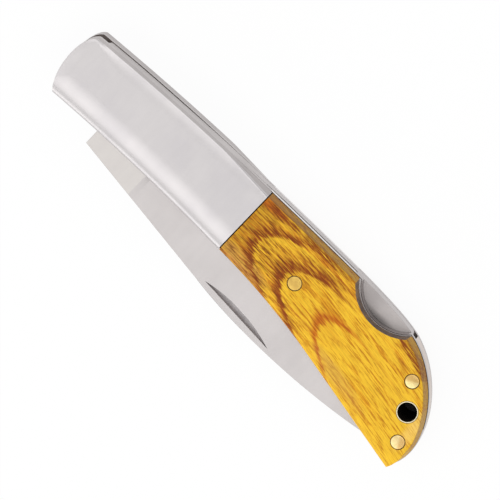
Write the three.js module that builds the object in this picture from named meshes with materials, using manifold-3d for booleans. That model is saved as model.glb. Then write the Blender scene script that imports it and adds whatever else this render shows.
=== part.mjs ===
// Folding pocket knife with a back lock, closed, lying on its rear side.
//
// Millimetres, +Z up. The blade's pivot axis is the line x = 0, y = 0 and the knife
// rests on z = 0. +X runs from the nose to the butt, +Y from the belly to the spine,
// and the front side, with the nail nick, faces +Z.

import * as THREE from 'three';
import { mergeVertices } from 'three/addons/utils/BufferGeometryUtils.js';
import Module from 'manifold-3d';

const wasm = await Module();
wasm.setup();

// Handle, seen from the front
const HANDLE_LENGTH = 101.6;
const NOSE_REACH = 8.9;
const NOSE_CORNER_X = -6.8;
const SPINE_AT_NOSE = 8.75;
const NOSE_HIGH_Y = 7.2;
const NOSE_LOW_Y = -1.2;
const CREST_X = 36;
const SPINE_AT_CREST = 10.3;
const SPINE_AT_BUTT = 8.65;
const SPINE_CREST_PULL_SHARE = 0.52;
const SPINE_BUTT_PULL = 6;
const BUTT_BULGE = 5.3;
const BUTT_LIFT_SHARE = 1.2;
const BUTT_PULL_SHARE = 1.5;
const BUTT_DROP_SHARE = 0.46;
const BUTT_WIDEST_Y = -8.5;
const BUTT_TIP_SETBACK = 1.5;
const BUTT_TIP_Y = -13.6;
const BELLY_BEND_SETBACK = 28.7;
const BELLY_AT_BEND = -8;
const BELLY_AT_JOINT = -5.15;
const BELLY_SAG = 0.1;
const BELLY_HOLLOW = -4.3;
const BELLY_CORNER_X = -6.4;
const BELLY_AT_NOSE = -5.5;

// Layers, from the outside in
const COVER_THICKNESS = 2.3;
const LINER_THICKNESS = 1.2;
const SLOT_WIDTH = 2.8;
const BLADE_THICKNESS = 2.4;
const LOCK_SIDE_CLEARANCE = 0.05;

// Bolsters and scales
const JOINT_X = 38.2;
const JOINT_GAP = 0.2;
const SEAM_INSET = 0.15;
const EDGE_ROUND_WIDTH = 1.5;
const EDGE_SEAM_PULL_INSET = 0.45;
const EDGE_SEAM_PULL_DROP = 1.25;
const EDGE_TOP_PULL_INSET = 0.55;
const BELLY_ROUND_WIDTH = 3.6;
const BELLY_ROUND_DEPTH = 1.45;
const BELLY_ROUND_OVERLAP = 0.05;
const EDGE_GROWS_FROM_X = 26;
const BOLSTER_EDGE = 0.1;
const BOLSTER_SKIN = 0.4;

// Thumb cut over the rear end of the lock bar
const THUMB_CUT_SETBACK = 22.7;
const THUMB_CUT_Y = 14.9;
const THUMB_CUT_INNER_RADIUS = 8.8;
const THUMB_CUT_OUTER_RADIUS = 9.5;

// Pins, tube and rivets
const PIVOT_PIN_RADIUS = 2;
const PIN_RADIUS = 1.5;
const RIVET_RADIUS = 1;
const TUBE_RADIUS = 2.2;
const TUBE_BORE_RADIUS = 1.93;
const FIXED_CLEARANCE = 0.02;
const RUNNING_CLEARANCE = 0.05;
const LOCK_PIN_X = 53.5;
const LOCK_PIN_Y = 0.7;
const UPPER_PIN_SETBACK = 9.55;
const UPPER_PIN_Y = 2.8;
const LOWER_PIN_SETBACK = 3.3;
const LOWER_PIN_Y = -8;
const TUBE_SETBACK = 6.05;
const TUBE_Y = -2.3;
const RIVET_Y = 2.4;
const RIVET_XS = [13, 31];
const WASHER_RADIUS = 4;

// Tang and lock notch
const TANG_RADIUS = 5.4;
const NOTCH_DEPTH_RADIUS = 4.2;
const HOOK_WIDTH = 3.2;
const HOOK_FRONT_X = -4.8;
const HOOK_CLEARANCE = 0.3;
const HOOK_RIDE_GAP = 0.14;
const LOCK_DROP = 0.95;

// Blade
const RICASSO_END_X = 18;
const RICASSO_TOP = 2.6;
const CHOIL_START_X = 13.8;
const CHOIL_REACH = 1.6;
const GRIND_OVERLAP = 0.5;
const PLUNGE_LENGTH = 0.8;
const EDGE_AT_RICASSO = 0.4;
const BACK_BEND_X = 43.2;
const BACK_AT_BEND = -13.87;
const BACK_BEND_PULL = 11;
const BACK_BEND_PULL_Y = -15.25;
const BACK_TIP_PULL = 16;
const BACK_TIP_PULL_Y = -14.6;
const BLADE_TIP_SETBACK = 7.3;
const BLADE_TIP_Y = -11.9;
const EDGE_BELLY_X = 52;
const EDGE_BELLY_Y = -3.35;
const EDGE_BELLY_PULL = 14;
const EDGE_BELLY_DROP = 1.5;
const EDGE_TIP_PULL = 10;
const EDGE_TIP_RISE = 4.6;
const MIDDLE_BACK_X = 33.2;
const MIDDLE_EDGE_X = 38;
const EDGE_THICKNESS = 0.1;
const BEVEL_THICKNESS = 0.5;
const BEVEL_SHARE = 0.93;
const TIP_THICKNESS = 0.5;
const TIP_TAPER_POWER = 2.5;

// Nail nick
const NICK_LENGTH = 18;
const NICK_HEIGHT = 1.1;
const NICK_DEPTH = 0.45;
const NICK_START_X = 40.6;
const NICK_START_Y = -12.25;
const NICK_CUTTER_DEPTH = 3;
const NICK_SLOPE = THREE.MathUtils.degToRad(-4);

// Lock bar, spring and spacer
const BAR_DEPTH = 3.6;
const BAR_NECK_END_X = 9.4;
const BAR_NECK_PULL = 1.5;
const BAR_END_GAP = 0.7;
const BAR_END_ROUND = 1;
const BAR_LOBE_RADIUS = 3.3;
const BAR_LOBE_FLARE = 8;
const SPACER_FRONT_SETBACK = 14.65;
const SPACER_RIM = 1.6;
const SPACER_FRONT_DEPTH = 6.5;
const SPACER_LOWER_RIM = 0.9;
const SPACER_HOLLOW_HIGH = 2;
const SPACER_HOLLOW_LOW = 1;
const SPRING_THICKNESS = 0.7;
const SPRING_TIP_MARGIN = 3.3;
const SPRING_GAP = 0.05;
const SPRING_SEAT_DEPTH = 2.6;
const SPRING_SEAT_Y = 4.6;
const SPRING_SAG = 1.1;
const SPRING_STRAIGHT = 1;

const CURVE_STEPS = 14;
const TIP_STEPS = 4;
const EDGE_ROUND_STEPS = 4;
const BELLY_ROUND_STEPS = 6;
const NICK_STEPS = 20;
const TIP_STEP_POWER = 1.3;
const HALVINGS = 30;
const ROUND_FACETS = 36;
const RIVET_FACETS = 16;
const REACH = 300;
const CUT_OVER = 1;

const BUTT_X = HANDLE_LENGTH - NOSE_REACH;
const BELLY_BEND_X = BUTT_X - BELLY_BEND_SETBACK;
const THUMB_CUT_X = BUTT_X - THUMB_CUT_SETBACK;
const UPPER_PIN_X = BUTT_X - UPPER_PIN_SETBACK;
const LOWER_PIN_X = BUTT_X - LOWER_PIN_SETBACK;
const TUBE_X = BUTT_X - TUBE_SETBACK;
const BLADE_TIP_X = BUTT_X - BLADE_TIP_SETBACK;
const SPACER_FRONT_X = BUTT_X - SPACER_FRONT_SETBACK;
const SPACER_LOWER_X = LOWER_PIN_X - PIN_RADIUS - SPACER_LOWER_RIM;
const SPRING_CONTACT_X = LOCK_PIN_X + BAR_LOBE_RADIUS + BAR_LOBE_FLARE / 2 + SPRING_TIP_MARGIN;
const HANDLE_THICKNESS = 2 * (COVER_THICKNESS + LINER_THICKNESS) + SLOT_WIDTH;
const MID_Z = HANDLE_THICKNESS / 2;
const SLOT_LOW = COVER_THICKNESS + LINER_THICKNESS;
const SLOT_HIGH = HANDLE_THICKNESS - SLOT_LOW;
const BLADE_LOW = MID_Z - BLADE_THICKNESS / 2;
const BLADE_HIGH = MID_Z + BLADE_THICKNESS / 2;
const BUTT_TIP_X = BUTT_X - BUTT_TIP_SETBACK;
const BAR_END_X = SPACER_FRONT_X - BAR_END_GAP;
const SHOULDER_X = HOOK_CLEARANCE - HOOK_FRONT_X;
const HOOK_REAR_X = HOOK_FRONT_X + HOOK_WIDTH;

const STEEL = { color: 0xb9b8ba, roughness: 0.34, metalness: 1 };
const SATIN_STEEL = { color: 0xcfced1, roughness: 0.42, metalness: 1 };
const BLADE_STEEL = { color: 0xc6c4c6, roughness: 0.38, metalness: 1 };
const SPRING_STEEL = { color: 0x8d8d92, roughness: 0.4, metalness: 1 };
const BRASS = { color: 0xd9bd7c, roughness: 0.35, metalness: 1 };
const BRONZE = { color: 0xb98a4e, roughness: 0.45, metalness: 1 };
const WOOD = { color: 0xd99a26, roughness: 0.4, metalness: 0 };

// Geometry helpers

// A closed solid from a three.js geometry
function solid(geometry) {
  const plain = geometry.clone();
  plain.deleteAttribute('normal');
  plain.deleteAttribute('uv');
  const merged = mergeVertices(plain, 1e-5);
  return new wasm.Manifold(new wasm.Mesh({
    numProp: 3,
    vertProperties: new Float32Array(merged.attributes.position.array),
    triVerts: new Uint32Array(merged.index.array),
  }));
}

// A three.js geometry from a solid
function toGeometry(body) {
  const mesh = body.getMesh();
  const geometry = new THREE.BufferGeometry();
  geometry.setAttribute('position', new THREE.BufferAttribute(mesh.vertProperties, 3));
  geometry.setIndex(new THREE.BufferAttribute(mesh.triVerts, 1));
  geometry.computeVertexNormals();
  return geometry;
}

// The flat plate that fills an outline between two heights
function plate(shape, low, high) {
  const options = { depth: high - low, bevelEnabled: false, curveSegments: CURVE_STEPS };
  return solid(new THREE.ExtrudeGeometry(shape, options).translate(0, 0, low));
}

// A round bar along Z, or a cone frustum if the two radii differ
function rod(x, y, radiusLow, radiusHigh, low, high, facets = ROUND_FACETS) {
  const geometry = new THREE.CylinderGeometry(radiusHigh, radiusLow, high - low, facets);
  return solid(geometry.rotateX(Math.PI / 2).translate(x, y, (low + high) / 2));
}

// A washer or tube along Z
function ring(x, y, inner, outer, low, high) {
  const profile = [[inner, low], [outer, low], [outer, high], [inner, high], [inner, low]];
  const points = profile.map(([radius, z]) => new THREE.Vector2(radius, z));
  const geometry = new THREE.LatheGeometry(points, ROUND_FACETS);
  return solid(geometry.rotateX(Math.PI / 2).translate(x, y, 0));
}

// The block between two limits along X, wider than the knife in Y and Z
function slab(low, high) {
  const geometry = new THREE.BoxGeometry(high - low, REACH, REACH);
  return solid(geometry.translate((low + high) / 2, 0, 0));
}

// The closed solid through a row of rings that have the same number of points each.
// The rings run anticlockwise as drawn on the two given axes and follow the third one.
function loft(rings, [across, up]) {
  const count = rings[0].length;
  const positions = rings.flat(2);
  const index = [];
  for (let r = 0; r < rings.length - 1; r += 1) {
    for (let i = 0; i < count; i += 1) {
      const a = r * count + i;
      const b = r * count + (i + 1) % count;
      index.push(a, b, a + count, b, b + count, a + count);
    }
  }
  const last = (rings.length - 1) * count;
  const flatten = (ring) => ring.map((point) => new THREE.Vector2(point[across], point[up]));
  for (const [a, b, c] of THREE.ShapeUtils.triangulateShape(flatten(rings[0]), [])) {
    index.push(c, b, a);
  }
  for (const [a, b, c] of THREE.ShapeUtils.triangulateShape(flatten(rings.at(-1)), [])) {
    index.push(last + a, last + b, last + c);
  }
  const geometry = new THREE.BufferGeometry();
  geometry.setAttribute('position', new THREE.Float32BufferAttribute(positions, 3));
  geometry.setIndex(index);
  return solid(geometry);
}

// The same solid mirrored to the other side of the knife
function mirrored(body) {
  const mesh = body.getMesh();
  const positions = Float32Array.from(mesh.vertProperties);
  for (let i = 2; i < positions.length; i += 3) {
    positions[i] = 2 * MID_Z - positions[i];
  }
  const triangles = Uint32Array.from(mesh.triVerts);
  for (let i = 0; i < triangles.length; i += 3) {
    [triangles[i], triangles[i + 1]] = [triangles[i + 1], triangles[i]];
  }
  return new wasm.Manifold(new wasm.Mesh({ numProp: 3, vertProperties: positions, triVerts: triangles }));
}

// Handle outline

// Spine from the nose to its crest, and from the crest to the butt
const SPINE_FRONT = new THREE.QuadraticBezierCurve(
  new THREE.Vector2(NOSE_CORNER_X, SPINE_AT_NOSE),
  new THREE.Vector2((NOSE_CORNER_X + CREST_X) / 2, SPINE_AT_CREST),
  new THREE.Vector2(CREST_X, SPINE_AT_CREST),
);
const SPINE_REAR = new THREE.CubicBezierCurve(
  new THREE.Vector2(CREST_X, SPINE_AT_CREST),
  new THREE.Vector2(CREST_X + SPINE_CREST_PULL_SHARE * (SPACER_FRONT_X - CREST_X), SPINE_AT_CREST),
  new THREE.Vector2(SPACER_FRONT_X - SPINE_BUTT_PULL, SPINE_AT_CREST),
  new THREE.Vector2(SPACER_FRONT_X, SPINE_AT_BUTT),
);

// The height of a left-to-right curve at x, found by halving
function heightAt(curve, x) {
  let low = 0;
  let high = 1;
  for (let i = 0; i < HALVINGS; i += 1) {
    const middle = (low + high) / 2;
    if (curve.getPoint(middle).x < x) {
      low = middle;
    } else {
      high = middle;
    }
  }
  return curve.getPoint((low + high) / 2).y;
}

function spineAt(x) {
  return heightAt(x < CREST_X ? SPINE_FRONT : SPINE_REAR, x);
}

// The belly from the nose corner to the butt tip, from left to right
function bellyPoints() {
  const path = new THREE.Path();
  path.moveTo(BELLY_CORNER_X, BELLY_AT_NOSE);
  path.quadraticCurveTo((BELLY_CORNER_X + CREST_X) / 2, BELLY_HOLLOW, CREST_X, BELLY_AT_JOINT);
  const sagY = BELLY_AT_JOINT - BELLY_SAG;
  path.quadraticCurveTo((CREST_X + BELLY_BEND_X) / 2, sagY, BELLY_BEND_X, BELLY_AT_BEND);
  path.lineTo(BUTT_TIP_X, BUTT_TIP_Y);
  return path.getPoints(CURVE_STEPS);
}

// The butt from its tip up to the front of the spacer
function buttPoints() {
  const tip = new THREE.QuadraticBezierCurve(
    new THREE.Vector2(BUTT_TIP_X, BUTT_TIP_Y),
    new THREE.Vector2(BUTT_X, (BUTT_TIP_Y + BUTT_WIDEST_Y) / 2),
    new THREE.Vector2(BUTT_X, BUTT_WIDEST_Y),
  );
  const pullX = SPACER_FRONT_X + BUTT_PULL_SHARE * BUTT_BULGE;
  const back = new THREE.CubicBezierCurve(
    new THREE.Vector2(BUTT_X, BUTT_WIDEST_Y),
    new THREE.Vector2(BUTT_X, BUTT_WIDEST_Y + BUTT_LIFT_SHARE * BUTT_BULGE),
    new THREE.Vector2(pullX, SPINE_AT_BUTT - BUTT_DROP_SHARE * BUTT_BULGE),
    new THREE.Vector2(SPACER_FRONT_X, SPINE_AT_BUTT),
  );
  return [...tip.getPoints(TIP_STEPS).slice(1), ...back.getPoints(2 * CURVE_STEPS).slice(1)];
}

// The rounded nose from the spine down to the belly. Both control points have the one x
// that brings the middle of the curve to the nose's reach.
function nosePoints() {
  const controlX = -(8 * NOSE_REACH + NOSE_CORNER_X + BELLY_CORNER_X) / 6;
  const nose = new THREE.CubicBezierCurve(
    new THREE.Vector2(NOSE_CORNER_X, SPINE_AT_NOSE),
    new THREE.Vector2(controlX, NOSE_HIGH_Y),
    new THREE.Vector2(controlX, NOSE_LOW_Y),
    new THREE.Vector2(BELLY_CORNER_X, BELLY_AT_NOSE),
  );
  return nose.getPoints(CURVE_STEPS).slice(1, -1);
}

// The whole outline, anticlockwise from the belly corner at the nose
function outlinePoints() {
  const spineRear = SPINE_REAR.getPoints(CURVE_STEPS).reverse().slice(1);
  const spineFront = SPINE_FRONT.getPoints(CURVE_STEPS).reverse().slice(1);
  return [...bellyPoints(), ...buttPoints(), ...spineRear, ...spineFront, ...nosePoints()];
}

function handleShape() {
  return new THREE.Shape(outlinePoints());
}

// Holes for pins between two heights
function drill(body, holes, low = -CUT_OVER, high = HANDLE_THICKNESS + CUT_OVER) {
  let result = body;
  for (const [x, y, radius, facets] of holes) {
    result = result.subtract(rod(x, y, radius, radius, low, high, facets));
  }
  return result;
}

const PIVOT_HOLE = [0, 0, PIVOT_PIN_RADIUS + FIXED_CLEARANCE, ROUND_FACETS];
const RIVET_HOLES = RIVET_XS.map((x) => [x, RIVET_Y, RIVET_RADIUS + FIXED_CLEARANCE, RIVET_FACETS]);
const LOCK_PIN_HOLE = [LOCK_PIN_X, LOCK_PIN_Y, PIN_RADIUS + FIXED_CLEARANCE, ROUND_FACETS];
const SPACER_HOLES = [
  [UPPER_PIN_X, UPPER_PIN_Y, PIN_RADIUS + FIXED_CLEARANCE, ROUND_FACETS],
  [LOWER_PIN_X, LOWER_PIN_Y, PIN_RADIUS + FIXED_CLEARANCE, ROUND_FACETS],
  [TUBE_X, TUBE_Y, TUBE_RADIUS + FIXED_CLEARANCE, ROUND_FACETS],
];

// The cone that the thumb cut takes out of the front side
function thumbCutter() {
  const slope = (THUMB_CUT_OUTER_RADIUS - THUMB_CUT_INNER_RADIUS) / (HANDLE_THICKNESS - SLOT_HIGH);
  return rod(
    THUMB_CUT_X, THUMB_CUT_Y,
    THUMB_CUT_INNER_RADIUS - slope * CUT_OVER, THUMB_CUT_OUTER_RADIUS + slope * CUT_OVER,
    SLOT_HIGH - CUT_OVER, HANDLE_THICKNESS + CUT_OVER, 2 * ROUND_FACETS,
  );
}

// Liner plate of the front side, bevelled along the wood so that the spine has a crown
function liner() {
  const inner = outlinePoints().map((point) => [point.x, point.y, SLOT_HIGH]);
  const outer = insetOutline((growth) => growth * SEAM_INSET);
  const seam = outer.map((point) => [point.x, point.y, SLOT_HIGH + LINER_THICKNESS]);
  const body = loft([inner, seam], [0, 1]).subtract(thumbCutter());
  return drill(body, [PIVOT_HOLE, ...RIVET_HOLES, LOCK_PIN_HOLE, ...SPACER_HOLES]);
}

// Everything above the belly's wide round-over, as a loft that follows the belly
function bellyRounding() {
  const belly = bellyPoints().map((point) => [point.x, point.y - BELLY_ROUND_OVERLAP]);
  const slope = (BUTT_TIP_Y - BELLY_AT_BEND) / (BUTT_TIP_X - BELLY_BEND_X);
  belly.unshift([-2 * NOSE_REACH, BELLY_AT_NOSE - BELLY_ROUND_OVERLAP]);
  belly.push([BUTT_TIP_X + NOSE_REACH, BUTT_TIP_Y - BELLY_ROUND_OVERLAP + slope * NOSE_REACH]);
  return loft(belly.map(([x, y]) => {
    const section = [[x, REACH, 0], [x, REACH, HANDLE_THICKNESS]];
    for (let i = BELLY_ROUND_STEPS; i >= 0; i -= 1) {
      const turn = (i / BELLY_ROUND_STEPS) * Math.PI / 2;
      section.push([
        x,
        y + BELLY_ROUND_WIDTH * (1 - Math.cos(turn)),
        HANDLE_THICKNESS - BELLY_ROUND_DEPTH * (1 - Math.sin(turn)),
      ]);
    }
    section.push([x, y, 0]);
    return section;
  }), [1, 2]);
}

// How far the crisp edge of the bolster has grown into the rolled edge of the wood at x
function growthAt(x) {
  return THREE.MathUtils.clamp((x - EDGE_GROWS_FROM_X) / (JOINT_X - EDGE_GROWS_FROM_X), 0, 1);
}

// A point of the edge's section between seam (0) and flat land (1), as inset and drop
function edgeSection(growth, share) {
  const mix = THREE.MathUtils.lerp;
  const section = new THREE.CubicBezierCurve(
    new THREE.Vector2(growth * SEAM_INSET, COVER_THICKNESS),
    new THREE.Vector2(growth * EDGE_SEAM_PULL_INSET, mix(BOLSTER_EDGE, EDGE_SEAM_PULL_DROP, growth)),
    new THREE.Vector2(growth * EDGE_TOP_PULL_INSET, 0),
    new THREE.Vector2(mix(BOLSTER_EDGE, EDGE_ROUND_WIDTH, growth), 0),
  );
  return section.getPoint(share);
}

// The outline with each point moved inwards by the width for its growth. The belly has a
// round of its own and stays, and the butt's tip runs from one to the other.
function insetOutline(widthFor) {
  const points = outlinePoints();
  const bellyCount = bellyPoints().length;
  return points.map((point, i) => {
    const before = points.at(i - 1);
    const after = points[(i + 1) % points.length];
    const arriving = new THREE.Vector2().subVectors(point, before).normalize();
    const leaving = new THREE.Vector2().subVectors(after, point).normalize();
    const inward = new THREE.Vector2(-arriving.y - leaving.y, arriving.x + leaving.x).normalize();
    const stretch = 1 / (inward.y * arriving.x - inward.x * arriving.y);
    const rise = (point.y - BUTT_TIP_Y) / (BUTT_WIDEST_Y - BUTT_TIP_Y);
    const share = i < bellyCount ? 0 : THREE.MathUtils.clamp(rise, 0, 1);
    return point.clone().addScaledVector(inward, share * widthFor(growthAt(point.x)) * stretch);
  });
}

// The outer layer of the front side in one piece: flat land, rounded edges, thumb cut
function cover() {
  const outline = outlinePoints();
  const rings = [];
  for (let i = 0; i <= EDGE_ROUND_STEPS; i += 1) {
    const share = i / EDGE_ROUND_STEPS;
    const inset = insetOutline((growth) => edgeSection(growth, share).x);
    rings.push(inset.map((point, p) => {
      const drop = edgeSection(growthAt(outline[p].x), share).y;
      return [point.x, point.y, HANDLE_THICKNESS - drop];
    }));
  }
  return loft(rings, [0, 1]).intersect(bellyRounding()).subtract(thumbCutter());
}

// Its pins end in blind holes under a bare face
function bolster() {
  const body = cover().intersect(slab(-REACH / 2, JOINT_X - JOINT_GAP / 2));
  return drill(body, [PIVOT_HOLE, ...RIVET_HOLES], 0, HANDLE_THICKNESS - BOLSTER_SKIN + FIXED_CLEARANCE);
}

function scale() {
  return drill(cover().intersect(slab(JOINT_X + JOINT_GAP / 2, REACH / 2)), [LOCK_PIN_HOLE, ...SPACER_HOLES]);
}

// Blade

// The half turn that carries the closed tang to where the lock bar meets it when open
const BACK_AT_SHOULDER = -spineAt(-SHOULDER_X);

function backAt(x) {
  const share = (x - SHOULDER_X) / (BACK_BEND_X - SHOULDER_X);
  return BACK_AT_SHOULDER + share * (BACK_AT_BEND - BACK_AT_SHOULDER);
}

// Round tang with the lock notch, the relief for the hook when shut, and the ricasso
function tangShape() {
  const wallX = HOOK_CLEARANCE - HOOK_REAR_X - 2 * HOOK_CLEARANCE;
  const wallY = Math.sqrt(TANG_RADIUS ** 2 - wallX ** 2);
  const reliefX = Math.sqrt(TANG_RADIUS ** 2 - NOTCH_DEPTH_RADIUS ** 2);
  const ricassoX = Math.sqrt(TANG_RADIUS ** 2 - RICASSO_TOP ** 2);
  const overlapX = RICASSO_END_X - GRIND_OVERLAP;
  const shape = new THREE.Shape();
  shape.moveTo(SHOULDER_X, BACK_AT_SHOULDER);
  shape.lineTo(SHOULDER_X, -NOTCH_DEPTH_RADIUS);
  shape.lineTo(wallX, -NOTCH_DEPTH_RADIUS);
  shape.lineTo(wallX, -wallY);
  shape.absarc(0, 0, TANG_RADIUS, Math.atan2(-wallY, wallX), Math.atan2(NOTCH_DEPTH_RADIUS, -reliefX), true);
  shape.lineTo(-wallX, NOTCH_DEPTH_RADIUS);
  shape.lineTo(-wallX, wallY);
  shape.absarc(0, 0, TANG_RADIUS, Math.atan2(wallY, -wallX), Math.atan2(RICASSO_TOP, ricassoX), true);
  shape.lineTo(CHOIL_START_X, RICASSO_TOP);
  shape.quadraticCurveTo(RICASSO_END_X - CHOIL_REACH, RICASSO_TOP, overlapX, EDGE_AT_RICASSO);
  shape.lineTo(overlapX, backAt(overlapX));
  return shape;
}

// Ground part of the blade: rings that each run from the back to the edge
function groundBlade() {
  const back = new THREE.CubicBezierCurve(
    new THREE.Vector2(BACK_BEND_X, BACK_AT_BEND),
    new THREE.Vector2(BACK_BEND_X + BACK_BEND_PULL, BACK_BEND_PULL_Y),
    new THREE.Vector2(BLADE_TIP_X - BACK_TIP_PULL, BACK_TIP_PULL_Y),
    new THREE.Vector2(BLADE_TIP_X, BLADE_TIP_Y - EDGE_THICKNESS),
  );
  const edge = new THREE.CubicBezierCurve(
    new THREE.Vector2(EDGE_BELLY_X, EDGE_BELLY_Y),
    new THREE.Vector2(EDGE_BELLY_X + EDGE_BELLY_PULL, EDGE_BELLY_Y - EDGE_BELLY_DROP),
    new THREE.Vector2(BLADE_TIP_X - EDGE_TIP_PULL, BLADE_TIP_Y + EDGE_TIP_RISE),
    new THREE.Vector2(BLADE_TIP_X, BLADE_TIP_Y),
  );
  const half = BLADE_THICKNESS / 2;
  const full = { bevel: half, edge: half, back: half };
  const ground = { bevel: BEVEL_THICKNESS / 2, edge: EDGE_THICKNESS / 2, back: half };
  const startX = RICASSO_END_X - 4 * GRIND_OVERLAP;
  const straight = [
    { from: startX, to: startX, ...full },
    { from: RICASSO_END_X, to: RICASSO_END_X, ...full },
    { from: RICASSO_END_X + PLUNGE_LENGTH, to: RICASSO_END_X + PLUNGE_LENGTH, ...ground },
    { from: MIDDLE_BACK_X, to: MIDDLE_EDGE_X, ...ground },
  ];
  const rings = straight.map(({ from, to, ...sizes }) => {
    const share = (to - RICASSO_END_X) / (EDGE_BELLY_X - RICASSO_END_X);
    const low = EDGE_AT_RICASSO + share * (EDGE_BELLY_Y - EDGE_AT_RICASSO);
    return bladeRing(from, backAt(from), to, low, sizes);
  });
  for (let i = 0; i <= CURVE_STEPS; i += 1) {
    const t = 1 - (1 - i / CURVE_STEPS) ** TIP_STEP_POWER;
    const upper = back.getPoint(t);
    const lower = edge.getPoint(t);
    const taper = half + (TIP_THICKNESS / 2 - half) * t ** TIP_TAPER_POWER;
    rings.push(bladeRing(upper.x, upper.y, lower.x, lower.y, { ...ground, back: taper }));
  }
  return loft(rings, [1, 2]);
}

function bladeRing(backX, backY, edgeX, edgeY, sizes) {
  const spots = [[0, sizes.back], [BEVEL_SHARE, sizes.bevel], [1, sizes.edge]];
  const place = (share, z) => [
    backX + share * (edgeX - backX),
    backY + share * (edgeY - backY),
    MID_Z + z,
  ];
  const front = spots.map(([share, z]) => place(share, z));
  const rear = spots.map(([share, z]) => place(share, -z)).reverse();
  return [...front, ...rear].reverse();
}

// Crescent cut by a tilted wheel: straight wall on the back's side, floor that runs out
function nickCutter() {
  const half = NICK_LENGTH / 2;
  const radius = (half ** 2 + NICK_HEIGHT ** 2) / (2 * NICK_HEIGHT);
  const angle = Math.asin(half / radius);
  const shape = new THREE.Shape();
  shape.moveTo(-half, 0);
  shape.lineTo(half, 0);
  shape.absarc(0, NICK_HEIGHT - radius, radius, Math.PI / 2 - angle, Math.PI / 2 + angle, false);
  const options = { depth: NICK_CUTTER_DEPTH, bevelEnabled: false, curveSegments: NICK_STEPS };
  const geometry = new THREE.ExtrudeGeometry(shape, options);
  geometry.rotateX(Math.atan2(NICK_DEPTH, NICK_HEIGHT));
  geometry.translate(half, 0, BLADE_HIGH - NICK_DEPTH);
  geometry.rotateZ(NICK_SLOPE);
  return solid(geometry.translate(NICK_START_X, NICK_START_Y, 0));
}

function blade() {
  const tang = plate(tangShape(), BLADE_LOW, BLADE_HIGH);
  const hole = [0, 0, PIVOT_PIN_RADIUS + RUNNING_CLEARANCE, ROUND_FACETS];
  return drill(tang.add(groundBlade()), [hole]).subtract(nickCutter());
}

// Lock bar, spring and spacer

const BAR_LOW_Y = spineAt(BAR_END_X) - BAR_DEPTH;

// Rocker that fills the slot along the spine: hook at the nose, lobe round its pin
function lockBarShape() {
  const hookY = Math.sqrt((TANG_RADIUS + HOOK_RIDE_GAP) ** 2 - HOOK_REAR_X ** 2);
  const bridgeY = TANG_RADIUS + HOOK_RIDE_GAP + LOCK_DROP;
  const flareX = LOCK_PIN_X - BAR_LOBE_RADIUS;
  const rearX = LOCK_PIN_X + BAR_LOBE_RADIUS;
  const shape = new THREE.Shape();
  shape.moveTo(HOOK_FRONT_X, hookY);
  shape.lineTo(HOOK_REAR_X, hookY);
  shape.lineTo(HOOK_REAR_X, bridgeY);
  shape.lineTo(TANG_RADIUS, bridgeY);
  shape.quadraticCurveTo(BAR_NECK_END_X - BAR_NECK_PULL, bridgeY, BAR_NECK_END_X, BAR_LOW_Y);
  shape.lineTo(flareX - BAR_LOBE_FLARE, BAR_LOW_Y);
  shape.quadraticCurveTo(flareX, BAR_LOW_Y, flareX, LOCK_PIN_Y);
  shape.absarc(LOCK_PIN_X, LOCK_PIN_Y, BAR_LOBE_RADIUS, Math.PI, 2 * Math.PI, false);
  shape.quadraticCurveTo(rearX, BAR_LOW_Y, rearX + BAR_LOBE_FLARE / 2, BAR_LOW_Y);
  shape.lineTo(BAR_END_X, BAR_LOW_Y);
  shape.lineTo(BAR_END_X, spineAt(BAR_END_X) - BAR_END_ROUND);
  const shoulderX = BAR_END_X - BAR_END_ROUND;
  shape.quadraticCurveTo(BAR_END_X, spineAt(BAR_END_X), shoulderX, spineAt(shoulderX));
  const steps = 3 * CURVE_STEPS;
  for (let i = 1; i <= steps; i += 1) {
    const x = shoulderX + (i / steps) * (HOOK_FRONT_X - shoulderX);
    shape.lineTo(x, spineAt(x));
  }
  return shape;
}

function lockBar() {
  const body = plate(lockBarShape(), SLOT_LOW + LOCK_SIDE_CLEARANCE, SLOT_HIGH - LOCK_SIDE_CLEARANCE);
  return drill(body, [[LOCK_PIN_X, LOCK_PIN_Y, PIN_RADIUS + RUNNING_CLEARANCE, ROUND_FACETS]]);
}

// Flat spring that is seated in the spacer and lifts the bar's rear arm at its tip
function springShape(clearance) {
  const tipY = BAR_LOW_Y - SPRING_GAP - SPRING_THICKNESS;
  const rootX = SPACER_FRONT_X + SPRING_SEAT_DEPTH + clearance;
  const middleX = (SPRING_CONTACT_X + SPACER_FRONT_X) / 2;
  const low = SPRING_SEAT_Y - SPRING_THICKNESS / 2 - clearance;
  const high = SPRING_SEAT_Y + SPRING_THICKNESS / 2 + clearance;
  const sag = Math.min(tipY, low) - SPRING_SAG;
  const straightX = SPACER_FRONT_X - SPRING_STRAIGHT;
  const shape = new THREE.Shape();
  shape.moveTo(SPRING_CONTACT_X, tipY);
  shape.quadraticCurveTo(middleX, sag - clearance, straightX, low);
  shape.lineTo(rootX, low);
  shape.lineTo(rootX, high);
  shape.lineTo(straightX, high);
  const tipTop = tipY + SPRING_THICKNESS;
  shape.quadraticCurveTo(middleX, sag + SPRING_THICKNESS + clearance, SPRING_CONTACT_X, tipTop);
  return shape;
}

function leafSpring() {
  const side = 4 * LOCK_SIDE_CLEARANCE;
  return plate(springShape(0), SLOT_LOW + side, SLOT_HIGH - side);
}

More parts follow.
